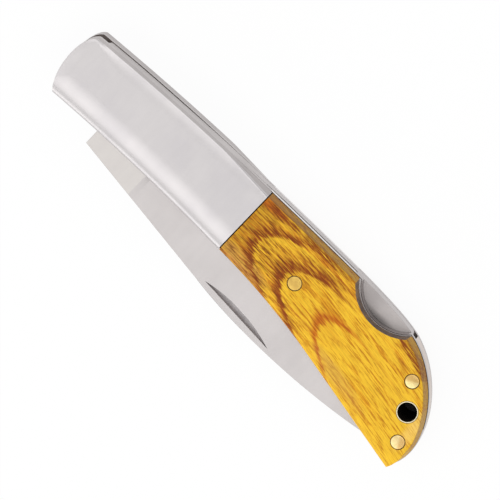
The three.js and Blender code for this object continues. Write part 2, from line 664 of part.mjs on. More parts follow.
// Filler between the liners round the butt, with holes for its pins and the tube
function spacer() {
  const inner = new THREE.Shape();
  const side = REACH / 4;
  const tubeRimX = TUBE_X - TUBE_RADIUS - SPACER_RIM;
  inner.moveTo(SPACER_FRONT_X, side);
  inner.lineTo(SPACER_FRONT_X, SPINE_AT_BUTT - SPACER_FRONT_DEPTH);
  const lowY = TUBE_Y + SPACER_HOLLOW_LOW;
  const highY = TUBE_Y + SPACER_HOLLOW_HIGH;
  inner.bezierCurveTo(SPACER_FRONT_X, lowY, tubeRimX, highY, tubeRimX, TUBE_Y);
  inner.quadraticCurveTo(tubeRimX, TUBE_Y - TUBE_RADIUS, SPACER_LOWER_X, LOWER_PIN_Y + SPACER_HOLLOW_LOW);
  inner.lineTo(SPACER_LOWER_X, -side);
  inner.lineTo(BUTT_X + side, -side);
  inner.lineTo(BUTT_X + side, side);
  const region = plate(inner, -CUT_OVER, HANDLE_THICKNESS + CUT_OVER);
  const seat = plate(springShape(FIXED_CLEARANCE), SLOT_LOW - CUT_OVER, SLOT_HIGH + CUT_OVER);
  const body = plate(handleShape(), SLOT_LOW, SLOT_HIGH).intersect(region).subtract(seat);
  return drill(body, SPACER_HOLES);
}

// Assembly

const knife = new THREE.Group();
knife.name = 'folding_knife';

function addPiece(name, body, finish) {
  const mesh = new THREE.Mesh(toGeometry(body), new THREE.MeshStandardMaterial(finish));
  mesh.name = name;
  knife.add(mesh);
}

function addPair(name, body, finish) {
  addPiece(`front_${name}`, body, finish);
  addPiece(`rear_${name}`, mirrored(body), finish);
}

function addPin(name, x, y, radius, finish) {
  addPiece(name, rod(x, y, radius, radius, 0, HANDLE_THICKNESS), finish);
}

addPair('bolster', bolster(), SATIN_STEEL);
addPair('scale', scale(), WOOD);
addPair('liner', liner(), STEEL);
addPiece('blade', blade(), BLADE_STEEL);
addPiece('lock_bar', lockBar(), STEEL);
addPiece('leaf_spring', leafSpring(), SPRING_STEEL);
addPiece('butt_spacer', spacer(), STEEL);
const pivotPin = rod(0, 0, PIVOT_PIN_RADIUS, PIVOT_PIN_RADIUS, BOLSTER_SKIN, HANDLE_THICKNESS - BOLSTER_SKIN);
addPiece('pivot_pin', pivotPin, STEEL);
addPin('lock_bar_pin', LOCK_PIN_X, LOCK_PIN_Y, PIN_RADIUS, BRASS);
addPin('spacer_pin_upper', UPPER_PIN_X, UPPER_PIN_Y, PIN_RADIUS, BRASS);
addPin('spacer_pin_lower', LOWER_PIN_X, LOWER_PIN_Y, PIN_RADIUS, BRASS);
addPiece('lanyard_tube', ring(TUBE_X, TUBE_Y, TUBE_BORE_RADIUS, TUBE_RADIUS, 0, HANDLE_THICKNESS), BRASS);
const washerBore = PIVOT_PIN_RADIUS + RUNNING_CLEARANCE;
addPair('pivot_washer', ring(0, 0, washerBore, WASHER_RADIUS, BLADE_HIGH, SLOT_HIGH), BRONZE);
RIVET_XS.forEach((x, i) => {
  const high = HANDLE_THICKNESS - BOLSTER_SKIN;
  const rivet = rod(x, RIVET_Y, RIVET_RADIUS, RIVET_RADIUS, SLOT_HIGH, high, RIVET_FACETS);
  addPair(`bolster_rivet_${i + 1}`, rivet, STEEL);
});

export default knife;
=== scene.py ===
"""A closed back-lock pocket knife: its visible pieces, their finishes and the studio round it.

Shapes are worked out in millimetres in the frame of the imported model. The pivot axis is x = 0,
y = 0, +X runs to the butt, +Y to the spine, and the front side with the nail nick faces +Z.
"""

import logging
import math
from collections.abc import Callable, Sequence
from dataclasses import dataclass, field
from enum import Enum
from functools import cached_property, partialmethod

import bpy
import numpy as np
from mathutils import Matrix, Vector


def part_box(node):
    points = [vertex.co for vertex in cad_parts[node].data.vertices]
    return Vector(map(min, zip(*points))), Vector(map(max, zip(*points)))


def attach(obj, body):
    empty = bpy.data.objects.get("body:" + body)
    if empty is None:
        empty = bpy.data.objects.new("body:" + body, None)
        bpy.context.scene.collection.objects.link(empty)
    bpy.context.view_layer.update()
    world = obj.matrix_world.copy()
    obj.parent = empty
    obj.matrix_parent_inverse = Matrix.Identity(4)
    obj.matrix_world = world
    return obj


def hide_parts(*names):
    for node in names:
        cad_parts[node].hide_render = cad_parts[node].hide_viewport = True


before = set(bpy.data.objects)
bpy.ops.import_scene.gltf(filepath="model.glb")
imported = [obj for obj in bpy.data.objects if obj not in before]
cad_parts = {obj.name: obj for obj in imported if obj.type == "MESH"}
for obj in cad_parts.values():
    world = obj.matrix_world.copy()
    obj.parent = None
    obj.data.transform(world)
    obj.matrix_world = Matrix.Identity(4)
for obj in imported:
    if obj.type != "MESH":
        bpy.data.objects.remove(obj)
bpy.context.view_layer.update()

MM = 0.001
HANDLE_BODY = "handle"
BLADE_BODY = "blade_body"
LOCK_BODY = "lock_bar_body"

# Lengths in millimetres: points that count as one, the reach of shaping tools past every piece,
# and how much wider than its pin a hole is where the pin is pressed in or a piece turns on it.
SAME_POINT = 1e-4
FAR = 120.0
PRESSED, TURNING = 0.02, 0.05
TURN_STEPS = 96
SHARP_ANGLE = math.radians(32)
# A face lies flat where its normal's share along Z is over FLAT, and stands up where it is under
# STEEP. It faces the spine where the share along Y is over STEEP.
FLAT, STEEP = 0.95, 0.3

Piece = bpy.types.Object
Socket = bpy.types.NodeSocket
Points = np.ndarray
Amount = np.ndarray | float
Point = tuple[float, float]
Corner = tuple[float, float, float]
Colour = tuple[float, float, float, float]
Table = tuple[tuple[float, ...], tuple[float, ...]]

log = logging.getLogger("pocket_knife")


class Side(Enum):
    """Which side of the middle plane a layer lies on."""

    FRONT = "front"
    REAR = "rear"


class Cut(Enum):
    """What a shaping tool does to a piece."""

    AWAY = "DIFFERENCE"
    COMMON = "INTERSECT"
    JOIN = "UNION"


class Grain(Enum):
    """The way that the grinding lines of a metal run."""

    ALONG = "along"
    ACROSS = "across"


class Hole(Enum):
    """How a hole ends."""

    THROUGH = "through"
    BLIND = "blind"


# Curves and outlines

def bezier(controls: Sequence[Point], steps: int) -> Points:
    """Samples a Bezier curve of any degree.

    Args:
        controls: The control points in millimetres.
        steps: How many pieces the curve is cut into.

    Returns:
        An array of steps + 1 points.
    """
    share = np.linspace(0.0, 1.0, steps + 1)[:, None]
    points = [np.asarray(point, dtype=float) for point in controls]
    while len(points) > 1:
        points = [a + (b - a) * share for a, b in zip(points, points[1:])]
    return points[0]


def arc(centre: Point, radius: float, start: float, end: float, steps: int) -> Points:
    """Samples an arc from one angle in radians to another, clockwise where end is below start."""
    turn = np.linspace(start, end, steps + 1)
    return np.column_stack([centre[0] + radius * np.cos(turn), centre[1] + radius * np.sin(turn)])


def circle(centre: Sequence[float], radius: float, steps: int = TURN_STEPS) -> Points:
    """Samples a whole circle, anticlockwise from +X."""
    turn = np.arange(steps) * math.tau / steps
    return np.asarray(centre) + np.column_stack([np.cos(turn), np.sin(turn)]) * radius


def closed(*stretches: Points) -> Points:
    """Joins stretches of an outline end to end and drops points that repeat.

    Args:
        *stretches: Point arrays in order round the outline.

    Returns:
        The anticlockwise loop without its closing point.
    """
    loop = np.vstack(stretches)
    step = np.linalg.norm(loop - np.roll(loop, 1, axis=0), axis=1)
    return loop[step > SAME_POINT]


def inset(loop: Points, width: Amount) -> Points:
    """Moves the corners of an anticlockwise loop inwards.

    Args:
        loop: The loop's points.
        width: How far each edge moves, as one number or one for each point.

    Returns:
        A loop with as many points.
    """
    arriving = loop - np.roll(loop, 1, axis=0)
    leaving = np.roll(loop, -1, axis=0) - loop
    arriving /= np.linalg.norm(arriving, axis=1, keepdims=True)
    leaving /= np.linalg.norm(leaving, axis=1, keepdims=True)
    heading = arriving + leaving
    inward = np.column_stack([-heading[:, 1], heading[:, 0]])
    inward /= np.linalg.norm(inward, axis=1, keepdims=True)
    stretch = inward[:, 1] * arriving[:, 0] - inward[:, 0] * arriving[:, 1]
    return loop + inward * (width / stretch)[:, None]


# Solids

def placed(name: str, data: bpy.types.ID) -> Piece:
    """Makes an object and links it to the scene.

    Args:
        name: The object's name.
        data: Its mesh, lamp or camera.

    Returns:
        The object.
    """
    piece = bpy.data.objects.new(name, data)
    bpy.context.scene.collection.objects.link(piece)
    return piece


def mesh_piece(name: str, points: Points, faces: list[tuple[int, ...]]) -> Piece:
    """Makes an object from points in millimetres.

    Args:
        name: The object's name.
        points: An array of points.
        faces: The faces, as tuples of point numbers.

    Returns:
        The new object, linked to the scene.
    """
    mesh = bpy.data.meshes.new(name)
    mesh.from_pydata((np.asarray(points) * MM).tolist(), [], faces)
    mesh.validate()
    return placed(name, mesh)


def loft(name: str, rings: Sequence[Points], hollow: bool = False) -> Piece:
    """Makes the closed solid through rings with as many points each.

    Args:
        name: The object's name.
        rings: Rings of points, anticlockwise seen from the side of the last one.
        hollow: Whether the last ring joins the first one, as in a tube, in place of flat ends.

    Returns:
        The solid.
    """
    count, total = len(rings[0]), len(rings)
    faces = []
    for number in range(total if hollow else total - 1):
        low, high = number * count, (number + 1) % total * count
        for i in range(count):
            after = (i + 1) % count
            faces.append((low + i, low + after, high + after, high + i))
    if not hollow:
        last = (total - 1) * count
        faces += [tuple(range(count - 1, -1, -1)), tuple(range(last, last + count))]
    return mesh_piece(name, np.vstack(rings), faces)


def level(loop: Points, height: Amount) -> Points:
    """Lifts a flat loop to one height, or to one height for each point."""
    return np.column_stack([loop, np.broadcast_to(height, len(loop))])


def layered(name: str, loop: Points, rows: Sequence[tuple[Amount, Amount]]) -> Piece:
    """Makes a solid from rows of width and height, with the loop moved in by the width there."""
    return loft(name, [level(inset(loop, width), height) for width, height in rows])


def plate(name: str, loop: Points, low: float, high: float, edge: float) -> Piece:
    """Makes a flat plate between two heights whose edges are broken all round."""
    rows = [(edge, low), (0.0, low + edge), (0.0, high - edge), (edge, high)]
    return layered(name, loop, rows)


def revolve(name: str, axis: Point, profile: Sequence[Point], hollow: bool = False) -> Piece:
    """Turns a profile of radius and height, from low to high, round an axis parallel to Z."""
    return loft(name, [level(circle(axis, radius), height) for radius, height in profile], hollow)


def block(name: str, low: Corner, high: Corner) -> Piece:
    """Makes a shaping tool that fills the box between two corners."""
    loop = np.array([(low[0], low[1]), (high[0], low[1]), (high[0], high[1]), (low[0], high[1])])
    return loft(name, [level(loop, low[2]), level(loop, high[2])])


def shape(piece: Piece, tool: Piece, cut: Cut) -> None:
    """Cuts a piece with a tool, or joins them, and removes the tool.

    Args:
        piece: The piece that is kept.
        tool: The solid that shapes it.
        cut: What the tool does.
    """
    modifier = piece.modifiers.new("shape", "BOOLEAN")
    modifier.operation = cut.value
    modifier.solver = "EXACT"
    modifier.object = tool
    before = piece.data
    posed = piece.evaluated_get(bpy.context.evaluated_depsgraph_get())
    piece.data = bpy.data.meshes.new_from_object(posed)
    piece.modifiers.clear()
    bpy.data.meshes.remove(before)
    bpy.data.objects.remove(tool)


def mirrored(piece: Piece, name: str, middle: float) -> Piece:
    """Copies a piece to the other side of a plane square to Z.

    Args:
        piece: The piece to copy.
        name: The copy's name.
        middle: The height of the plane.

    Returns:
        The copy.
    """
    mesh = piece.data.copy()
    flip = Matrix.Scale(-1, 4, (0, 0, 1))
    mesh.transform(Matrix.Translation((0, 0, 2 * middle * MM)) @ flip)
    mesh.flip_normals()
    return placed(name, mesh)


def box_mm(node: str) -> tuple[np.ndarray, np.ndarray]:
    """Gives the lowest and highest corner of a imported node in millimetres."""
    low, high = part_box(node)
    return np.asarray(low) / MM, np.asarray(high) / MM


# Shader graphs

class Value:
    """A number socket of a material, with its sums written as Python expressions."""

    def __init__(self, graph: "Graph", socket: Socket) -> None:
        """Keeps the graph and the output socket."""
        self.graph = graph
        self.socket = socket

    def _join(self, operation: str, other: "Value | float", swapped: bool = False) -> "Value":
        """Adds the Math node of an operator, with other as its first number where swapped."""
        sides = {0: other, 1: self} if swapped else {0: self, 1: other}
        return self.graph.number("ShaderNodeMath", {"operation": operation}, sides)

    __add__ = __radd__ = partialmethod(_join, "ADD")
    __sub__ = partialmethod(_join, "SUBTRACT")
    __rsub__ = partialmethod(_join, "SUBTRACT", swapped=True)
    __mul__ = __rmul__ = partialmethod(_join, "MULTIPLY")
    __truediv__ = partialmethod(_join, "DIVIDE")
    __rtruediv__ = partialmethod(_join, "DIVIDE", swapped=True)

    def clamped(self) -> "Value":
        """Keeps the value between 0 and 1."""
        return self.graph.number("ShaderNodeClamp", {}, {"Value": self})

    def between(self, low: float, high: float) -> "Value":
        """Runs smoothly from 0 at low to 1 at high."""
        inputs = {"Value": self, "From Min": low, "From Max": high}
        return self.graph.number("ShaderNodeMapRange", {"interpolation_type": "SMOOTHSTEP"}, inputs)


Place = tuple[Value, Value, Value]
Input = Value | Socket | float | tuple[float, ...]
Inputs = dict[str | int, Input]


class Graph:
    """The nodes of a material or of the world, built up one by one."""

    def __init__(self, owner: bpy.types.Material | bpy.types.World) -> None:
        """Starts with no nodes.

        Args:
            owner: The material or world that the nodes belong to.
        """
        owner.use_nodes = True
        self.owner = owner
        self.tree = owner.node_tree
        self.tree.nodes.clear()

    def node(self, kind: str, settings: dict[str, object], inputs: Inputs) -> bpy.types.Node:
        """Adds a node.

        Args:
            kind: The node's type.
            settings: Its properties, all set before its sockets.
            inputs: Its sockets by name, identifier or number, with values or links.

        Returns:
            The node.
        """
        node = self.tree.nodes.new(kind)
        for key, setting in settings.items():
            setattr(node, key, setting)
        named = {socket.identifier: socket for socket in node.inputs}
        for key, given in inputs.items():
            socket = named.get(key) or node.inputs[key]
            given = given.socket if isinstance(given, Value) else given
            if isinstance(given, Socket):
                self.tree.links.new(given, socket)
            else:
                socket.default_value = given
        return node

    def number(self, kind: str, settings: dict[str, object], inputs: Inputs) -> Value:
        """Adds a node and wraps its first output as a number."""
        return Value(self, self.node(kind, settings, inputs).outputs[0])

    def parts(self, vector: Socket) -> Place:
        """Splits a vector into its three numbers."""
        split = self.node("ShaderNodeSeparateXYZ", {}, {0: vector})
        return tuple(Value(self, output) for output in split.outputs)

    def place(self) -> Place:
        """Gives the coordinates of the shaded point on its piece.

        Returns:
            Its x, y and z in millimetres.
        """
        metres = {0: self.node("ShaderNodeTexCoord", {}, {}).outputs["Object"], "Scale": 1 / MM}
        scaled = self.node("ShaderNodeVectorMath", {"operation": "SCALE"}, metres)
        return self.parts(scaled.outputs[0])

    def vector(self, x: Input, y: Input, z: Input) -> Socket:
        """Joins three numbers into a vector."""
        return self.node("ShaderNodeCombineXYZ", {}, {0: x, 1: y, 2: z}).outputs[0]

    def noise(self, where: Place, pace: Corner | float, detail: float = 2.0,
              roughness: float = 0.5) -> Value:
        """Adds smooth noise.

        Args:
            where: The place that it is read at.
            pace: How often it changes along each axis, or along all of them.
            detail: How many finer layers it has.
            roughness: How strong those layers are.

        Returns:
            A number round 0.5.
        """
        scale = pace if isinstance(pace, float) else 1.0
        if isinstance(pace, tuple):
            where = tuple(part * step for part, step in zip(where, pace))
        inputs = {"Vector": self.vector(*where), "Scale": scale, "Detail": detail,
                  "Roughness": roughness}
        return self.number("ShaderNodeTexNoise", {}, inputs)

    def mix(self, factor: Input, first: Input, second: Input, blend: str = "MIX") -> Socket:
        """Mixes two colours.

        Args:
            factor: How much of the second shows. The node keeps it between 0 and 1.
            first: A colour with alpha, or a link.
            second: A colour with alpha, or a link.
            blend: The way of mixing.

        Returns:
            The mixed colour.
        """
        inputs = {"Factor_Float": factor, "A_Color": first, "B_Color": second}
        node = self.node("ShaderNodeMix", {"data_type": "RGBA", "blend_type": blend}, inputs)
        return next(output for output in node.outputs if output.identifier == "Result_Color")

    def bump(self, height: Value, distance: float) -> Socket:
        """Turns a height into a normal, with distance in millimetres."""
        inputs = {"Height": height, "Strength": 1.0, "Distance": distance * MM}
        return self.node("ShaderNodeBump", {}, inputs).outputs[0]

    def surface(self, inputs: Inputs) -> bpy.types.Material:
        """Ends the graph with the glossy surface that real pieces have.

        Args:
            inputs: The surface's sockets.

        Returns:
            The finished material.
        """
        shader = self.node("ShaderNodeBsdfPrincipled", {}, inputs)
        self.node("ShaderNodeOutputMaterial", {}, {"Surface": shader.outputs[0]})
        return self.owner


def rgb(red: int, green: int, blue: int) -> Colour:
    """Turns a colour of 0 to 255 a channel, as seen on a screen, into a scene colour."""
    parts = [channel / 255 for channel in (red, green, blue)]
    return (*(c / 12.92 if c <= 0.04045 else ((c + 0.055) / 1.055) ** 2.4 for c in parts), 1.0)


# Finishes

@dataclass(frozen=True)
class Finish:
    """How a piece looks, made into a material on first use."""

    name: str

    def looks(self, graph: Graph, where: Place) -> Inputs:
        """Gives the sockets of the surface, worked out from the place on the piece."""
        raise NotImplementedError

    def material(self) -> bpy.types.Material:
        """Gives the material, and makes it on first use.

        Returns:
            The material.
        """
        known = bpy.data.materials.get(self.name)
        if known:
            return known
        graph = Graph(bpy.data.materials.new(self.name))
        return graph.surface(self.looks(graph, graph.place()))


@dataclass(frozen=True)
class GroundSteel(Finish):
    """Steel or nickel silver with fine grinding lines, small clouds and faint marks of use."""

    colour: Colour
    tint: Colour
    roughness: float
    grain: Grain = Grain.ACROSS
    line_width: float = 0.06
    line_length: float = 6.0
    line_depth: float = 0.0012
    line_contrast: float = 0.05
    broad_width: float = 1.4
    broad_length: float = 9.0
    dull_from: Point | None = None
    painted_shade_strength: float = 0.55

    def looks(self, graph: Graph, where: Place) -> Inputs:
        """Gives the sockets, with painted shade from one height down to another if asked.

        Args:
            graph: The material's graph.
            where: The place on the piece.

        Returns:
            The surface's sockets.
        """
        x, y, z = where
        run = (x, y, z) if self.grain is Grain.ALONG else (y, x, z)
        fine, broad = 1 / self.line_width, 1 / self.broad_width
        lines = graph.noise(run, (1 / self.line_length, fine, fine), 3.0)
        bands = graph.noise(run, (1 / self.broad_length, broad, broad))
        clouds = graph.noise(where, 0.11, 3.0)
        slanted = (x * 0.5 + y * 0.9, y * 3.0 - x * 1.6, z)
        marks = graph.noise(slanted, 1.3, 1.0).between(0.71, 0.78)
        shade = graph.mix(clouds.between(0.35, 0.7), self.colour, self.tint)
        streaks = (lines - 0.5) * self.line_contrast + (bands - 0.5) * self.line_contrast + 1.0
        # Painted shade: the grey darkens from one height down to another.
        if self.dull_from is not None:
            start, end = self.dull_from
            streaks = streaks * (1 - (1 - y.between(end, start)) * self.painted_shade_strength)
        grey = graph.vector(streaks, streaks, streaks)
        roughness = self.roughness + (lines - 0.5) * 0.16 + (clouds - 0.5) * 0.08 + marks * 0.05
        return {
            "Base Color": graph.mix(1.0, shade, grey, "MULTIPLY"),
            "Metallic": 1.0,
            "Roughness": roughness.clamped(),
            "Normal": graph.bump(lines + marks * 0.6, self.line_depth),
        }


@dataclass(frozen=True)
class GrimeAndShade(Finish):
    """Dark, uneven painted shade for seams, gaps and hollows, with some oil, dust and tarnish."""

    colour: Colour
    lighter: Colour
    roughness: float = 0.6
    metallic: float = 0.0

    def looks(self, graph: Graph, where: Place) -> Inputs:
        """Gives the sockets: uneven patches with small specks.

        Args:
            graph: The material's graph.
            where: The place on the piece.

        Returns:
            The surface's sockets.
        """
        patches = graph.noise(where, 0.7, 4.0, 0.6)
        specks = graph.noise(where, (2.2, 5.0, 5.0))
        lighter = (patches * 0.7 + specks * 0.3).between(0.38, 0.66)
        return {
            "Base Color": graph.mix(lighter, self.colour, self.lighter),
            "Metallic": self.metallic,
            "Roughness": (self.roughness + (patches - 0.5) * 0.3).clamped(),
            "Specular IOR Level": 0.3,
            "Normal": graph.bump(specks, 0.006),
        }


@dataclass(frozen=True)
class Brass(Finish):
    """Brass ground flush and buffed, with a painted sheen: a lighter half and a fan of fine lines.

    The boundary of the painted lighter half is turned by sheen degrees from +X about the axis.
    """

    colour: Colour
    deep: Colour
    roughness: float
    axis: Point = (0.0, 0.0)
    sheen: float | None = None

    def _painted_sheen_mask(self, graph: Graph, where: Place) -> Value:
        """Marks the painted sheen on a pin's end: a lighter half with a fan of lines in it.

        Args:
            graph: The material's graph.
            where: The place on the piece.

        Returns:
            1 on the lighter half and 0 on the other.
        """
        turn = math.radians(self.sheen)
        right, up = where[0] - self.axis[0], where[1] - self.axis[1]
        along = right * math.cos(turn) + up * math.sin(turn)
        across = up * math.cos(turn) - right * math.sin(turn)
        angle = graph.number("ShaderNodeMath", {"operation": "ARCTAN2"}, {0: across, 1: along})
        fan = graph.noise((angle * 2.2, where[2], where[2]), 1.0, 3.0, 0.6)
        return ((1 - across.between(-0.35, 0.5)) * 0.8 + (fan - 0.4) * 0.9).clamped()

    def looks(self, graph: Graph, where: Place) -> Inputs:
        """Gives the sockets: buffing swirls and fine scratches, or a painted sheen if one is given.

        Args:
            graph: The material's graph.
            where: The place on the piece.

        Returns:
            The surface's sockets.
        """
        x, y, z = where
        swirl = graph.noise((x * 0.3 - y * 0.2, (y + x * 0.5) * 0.75, z * 0.3), 1.0)
        fine = graph.noise(where, 8.0)
        share = swirl.between(0.4, 0.6) if self.sheen is None else self._painted_sheen_mask(graph, where)
        roughness = self.roughness + (swirl - 0.5) * 0.2 + (fine - 0.5) * 0.1
        return {
            "Base Color": graph.mix(share, self.deep, self.colour),
            "Metallic": 1.0,
            "Roughness": roughness.clamped(),
            "Normal": graph.bump(swirl * 0.7 + fine * 0.3, 0.003),
        }


@dataclass(frozen=True)
class Arch:
    """A dark arch of the wood's rings: crisp towards the butt, fading towards the nose.

    It crosses the arches' axis at place, and from lost_from to lost_to its lost share goes.
    """

    place: float
    fade_in: float
    fade_out: float
    lost_from: float
    lost_to: float
    lost: float = 1.0
    strength: float = 1.0

    def mask(self, x: Value, depth: Value) -> Value:
        """Gives its strength at a point, from its x and the place of its own arch.

        Args:
            x: The place along the handle.
            depth: The place of the point's own arch.

        Returns:
            A number from 0 outside the arch to its strength.
        """
        line = depth.between(self.place - self.fade_in, self.place)
        line = line * (1 - depth.between(self.place, self.place + self.fade_out))
        return line * (1 - x.between(self.lost_from, self.lost_to) * self.lost) * self.strength


@dataclass(frozen=True)
class Patch:
    """A soft patch in the wood, drawn out along the fibres.

    It has a middle, half of its length and width, and the fall of y for each millimetre of x.
    """

    middle: Point
    half: Point
    fall: float = 0.0
    strength: float = 1.0

    def mask(self, x: Value, y: Value) -> Value:
        """Gives a number from 0 outside the patch to its strength in the middle.

        Args:
            x: The place along the handle.
            y: The place across it.

        Returns:
            A number from 0 outside the patch to its strength.
        """
        run = x - self.middle[0]
        along = run / self.half[0]
        across = (y - self.middle[1] - run * self.fall) / self.half[1]
        return (1 - (along * along + across * across).between(0.0, 1.6)) * self.strength


FIRST_ARCH = Arch(42.3, 2.6, 1.0, 47.0, 53.0, 0.9, 1.5)
SECOND_ARCH = Arch(50.6, 3.4, 1.0, 57.0, 68.0, 1.0, 1.25)
THIRD_ARCH = Arch(61.9, 2.4, 1.3, 66.0, 74.0, 0.8)
WARM_BANDS = (Arch(FIRST_ARCH.place, 6.0, 0.9, 56.0, 66.0),
              Arch(SECOND_ARCH.place, 6.0, 0.8, 56.0, 66.0))
JOINT_CORNERS = (Patch((40.0, 8.8), (4.5, 1.2)), Patch((42.5, -4.7), (5.0, 0.5), 0.0, 0.6))
LOW_SIDE = (Patch((43.0, -3.6), (7.0, 1.8), -0.06), Patch((72.5, -7.2), (8.0, 1.7), -0.2, 0.8))
STREAKS_AND_EDGE_SHADE = (
    Patch((79.3, 4.3), (3.0, 0.4), -0.12, 0.3),
    # Painted shade along the butt's rolled edge; the other patches are dark streaks in the wood.
    Patch((79.8, 6.5), (8.0, 1.0), -0.3, 1.1),
    Patch((51.0, 8.85), (11.0, 0.75), 0.0, 1.1),
    Patch((42.0, 8.6), (4.5, 0.9), 0.0, 0.6),
    Patch((57.0, 6.4), (6.5, 0.8), 0.12, 0.75),
    Patch((46.0, -3.5), (3.5, 0.6), -0.25, 0.6),
    Patch((56.3, -4.9), (4.5, 0.55), -0.32, 0.6),
    Patch((48.3, 1.0), (3.2, 2.8), 0.0, 0.2),
)
# A painted highlight on the rolled edge at the butt.
BUTT_HIGHLIGHT_PATCH = Patch((90.0, -3.0), (1.5, 6.0), 0.0, 0.6)


@dataclass(frozen=True)
class FiguredWood(Finish):
    """Golden hardwood cut so that its rings show as nested arches that open to the butt."""

    gold: Colour = rgb(248, 198, 48)
    honey: Colour = rgb(220, 146, 22)
    amber: Colour = rgb(200, 98, 10)
    flame: Colour = rgb(206, 108, 16)
    brown: Colour = rgb(136, 52, 8)
    pore: Colour = rgb(104, 56, 10)
    tan: Colour = rgb(190, 140, 84)
    olive: Colour = rgb(168, 108, 20)
    # Painted shade for the rolled edge that faces the spine.
    edge_shade: Colour = rgb(142, 104, 64)
    # The colour of the painted highlight at the butt.
    painted_highlight: Colour = rgb(250, 212, 128)
    fibres_from_x: float = 38.0

    @staticmethod
    def _depth(x: Value, y: Value, fray: Value) -> Value:
        """Gives the place along the arches' axis at which a point's own arch crosses it.

        Args:
            x: The place along the handle.
            y: The place across it.
            fray: Noise that frays the arches along the fibres.

        Returns:
            The place in millimetres.
        """
        run = x - FIRST_ARCH.place
        across = y - (1.75 - run * 0.08 - run * run * 0.004)
        bend = 0.155 + (x - 45.0) * 0.0068
        return x - across * across * bend + (fray - 0.5) * 4.2

    @staticmethod
    def _painted_edge_shade(graph: Graph) -> Value:
        """Marks the rolled edge along spine and butt, which gets painted shade.

        Args:
            graph: The material's graph.

        Returns:
            1 on the rolled edge and 0 on the land.
        """
        facing = graph.node("ShaderNodeTexCoord", {}, {}).outputs["Normal"]
        _, up_spine, up_front = graph.parts(facing)
        steep = 1 - (up_front * up_front).between(0.05, 0.75)
        return steep * up_spine.between(-0.35, 0.25)

    def looks(self, graph: Graph, where: Place) -> Inputs:
        """Gives the sockets: colours laid over each other, from the broad ones to the pores.

        Args:
            graph: The material's graph.
            where: The place on the piece.

        Returns:
            The surface's sockets.
        """
        x, y, z = where
        run = x - self.fibres_from_x
        along = (x, y + run * 0.02 + run * run * 0.002, z)
        fray = graph.noise(along, (0.16, 1.9, 0.4), 3.0, 0.72)
        fibre = graph.noise(along, (0.28, 3.5, 1.5), 3.0, 0.68)
        hair = graph.noise(along, (0.34, 7.0, 3.0), 2.0, 0.65)
        drift = graph.noise(along, (0.07, 0.55, 0.2))
        depth = self._depth(x, y, fray)
        lower_half = 1 - y.between(-3.6, -1.6)
        first = FIRST_ARCH.mask(x, depth) * (1 - lower_half * 0.5)
        third = THIRD_ARCH.mask(x, depth)
        warm = sum(band.mask(x, depth) for band in WARM_BANDS).clamped()
        light = fibre * 0.62 + drift * 0.38 + x.between(56.0, 74.0) * 0.035
        stain = drift.between(0.5, 0.64) * (1 - x.between(58.0, 76.0) * 0.75)
        corners = sum(patch.mask(x, y) for patch in JOINT_CORNERS)
        low_side = sum(patch.mask(x, y) for patch in LOW_SIDE)
        # Dark streaks, with painted shade along the butt's rolled edge.
        spots = sum(patch.mask(x, y) for patch in STREAKS_AND_EDGE_SHADE)
        dark = first + SECOND_ARCH.mask(x, depth) + third * 0.22 + spots
        dark = (dark * (0.82 + (0.5 - fibre) * 3.0 + (0.5 - hair) * 2.4)).clamped()
        lines = (1 - hair.between(0.4, 0.54)) * 0.5 + (1 - fibre.between(0.37, 0.49)) * 0.7
        colour = graph.mix(light.between(0.4, 0.56), self.honey, self.gold)
        for share, over in (
            (stain * (0.2 + (1 - fibre.between(0.4, 0.56)) * 0.45), self.amber),
            (warm * (0.45 + (0.55 - fibre) * 2.6), self.amber),
            (third * (0.95 + (0.5 - fibre) * 1.6), self.flame),
            ((1 - x.between(38.5, 45.0)) * 0.45, self.olive),
            (corners * (0.8 + (0.5 - fibre) * 2.0), self.flame),
            (low_side * (0.45 + (drift - 0.5)), self.tan),
            (dark * 0.9, self.brown),
            (lines * (0.9 - x.between(42.0, 66.0) * 0.56), self.pore),
            # Painted highlight at the butt.
            (BUTT_HIGHLIGHT_PATCH.mask(x, y) * (0.7 + (fibre - 0.5) * 2.0), self.painted_highlight),
            # Painted shade on the rolled edge.
            (self._painted_edge_shade(graph) * 0.65, self.edge_shade),
        ):
            colour = graph.mix(share, colour, over)
        return {
            "Base Color": colour,
            "Roughness": (0.45 + dark * 0.08 + (fibre - 0.5) * 0.25).clamped(),
            "Specular IOR Level": 0.16,
            "IOR": 1.5,
            "Normal": graph.bump(fibre * 0.5 + hair * 0.5, 0.016),
        }


def ground_along(name: str, colour: Colour, tint: Colour, roughness: float,
                 **more: object) -> GroundSteel:
    """Gives steel whose grinding lines run along the knife."""
    return GroundSteel(name, colour, tint, roughness, Grain.ALONG, **more)


STEEL, STEEL_TINT = rgb(197, 191, 190), rgb(189, 183, 182)
BOLSTER_SATIN = GroundSteel("bolster_satin", rgb(205, 201, 201), rgb(199, 195, 196), 0.33,
                            line_depth=0.0010)
BLADE_SATIN = GroundSteel("blade_satin", rgb(201, 196, 195), rgb(196, 191, 190), 0.4,
                          line_contrast=0.06)
RICASSO_SATIN = GroundSteel("ricasso_satin", rgb(207, 203, 199), rgb(203, 198, 195), 0.4,
                            line_contrast=0.06)
HIDDEN_STEEL = GroundSteel("turned_steel", rgb(190, 187, 187), rgb(176, 173, 174), 0.35)
# Painted shade: the bolsters' spine-facing sides get a darker copy of their steel, ground along.
BOLSTER_SPINE_SHADE = ground_along("bolster_spine_shade", rgb(190, 184, 183), rgb(182, 176, 175), 0.45)
LINER_GROUND = ground_along("liner_ground", STEEL, STEEL_TINT, 0.4)
# A painted highlight on the liners' spine faces next to the wood.
LINER_HIGHLIGHT = ground_along("liner_painted_highlight", rgb(228, 224, 223), rgb(220, 215, 214), 0.35)
BAR_GROUND = ground_along("lock_bar_ground", STEEL, STEEL_TINT, 0.4)
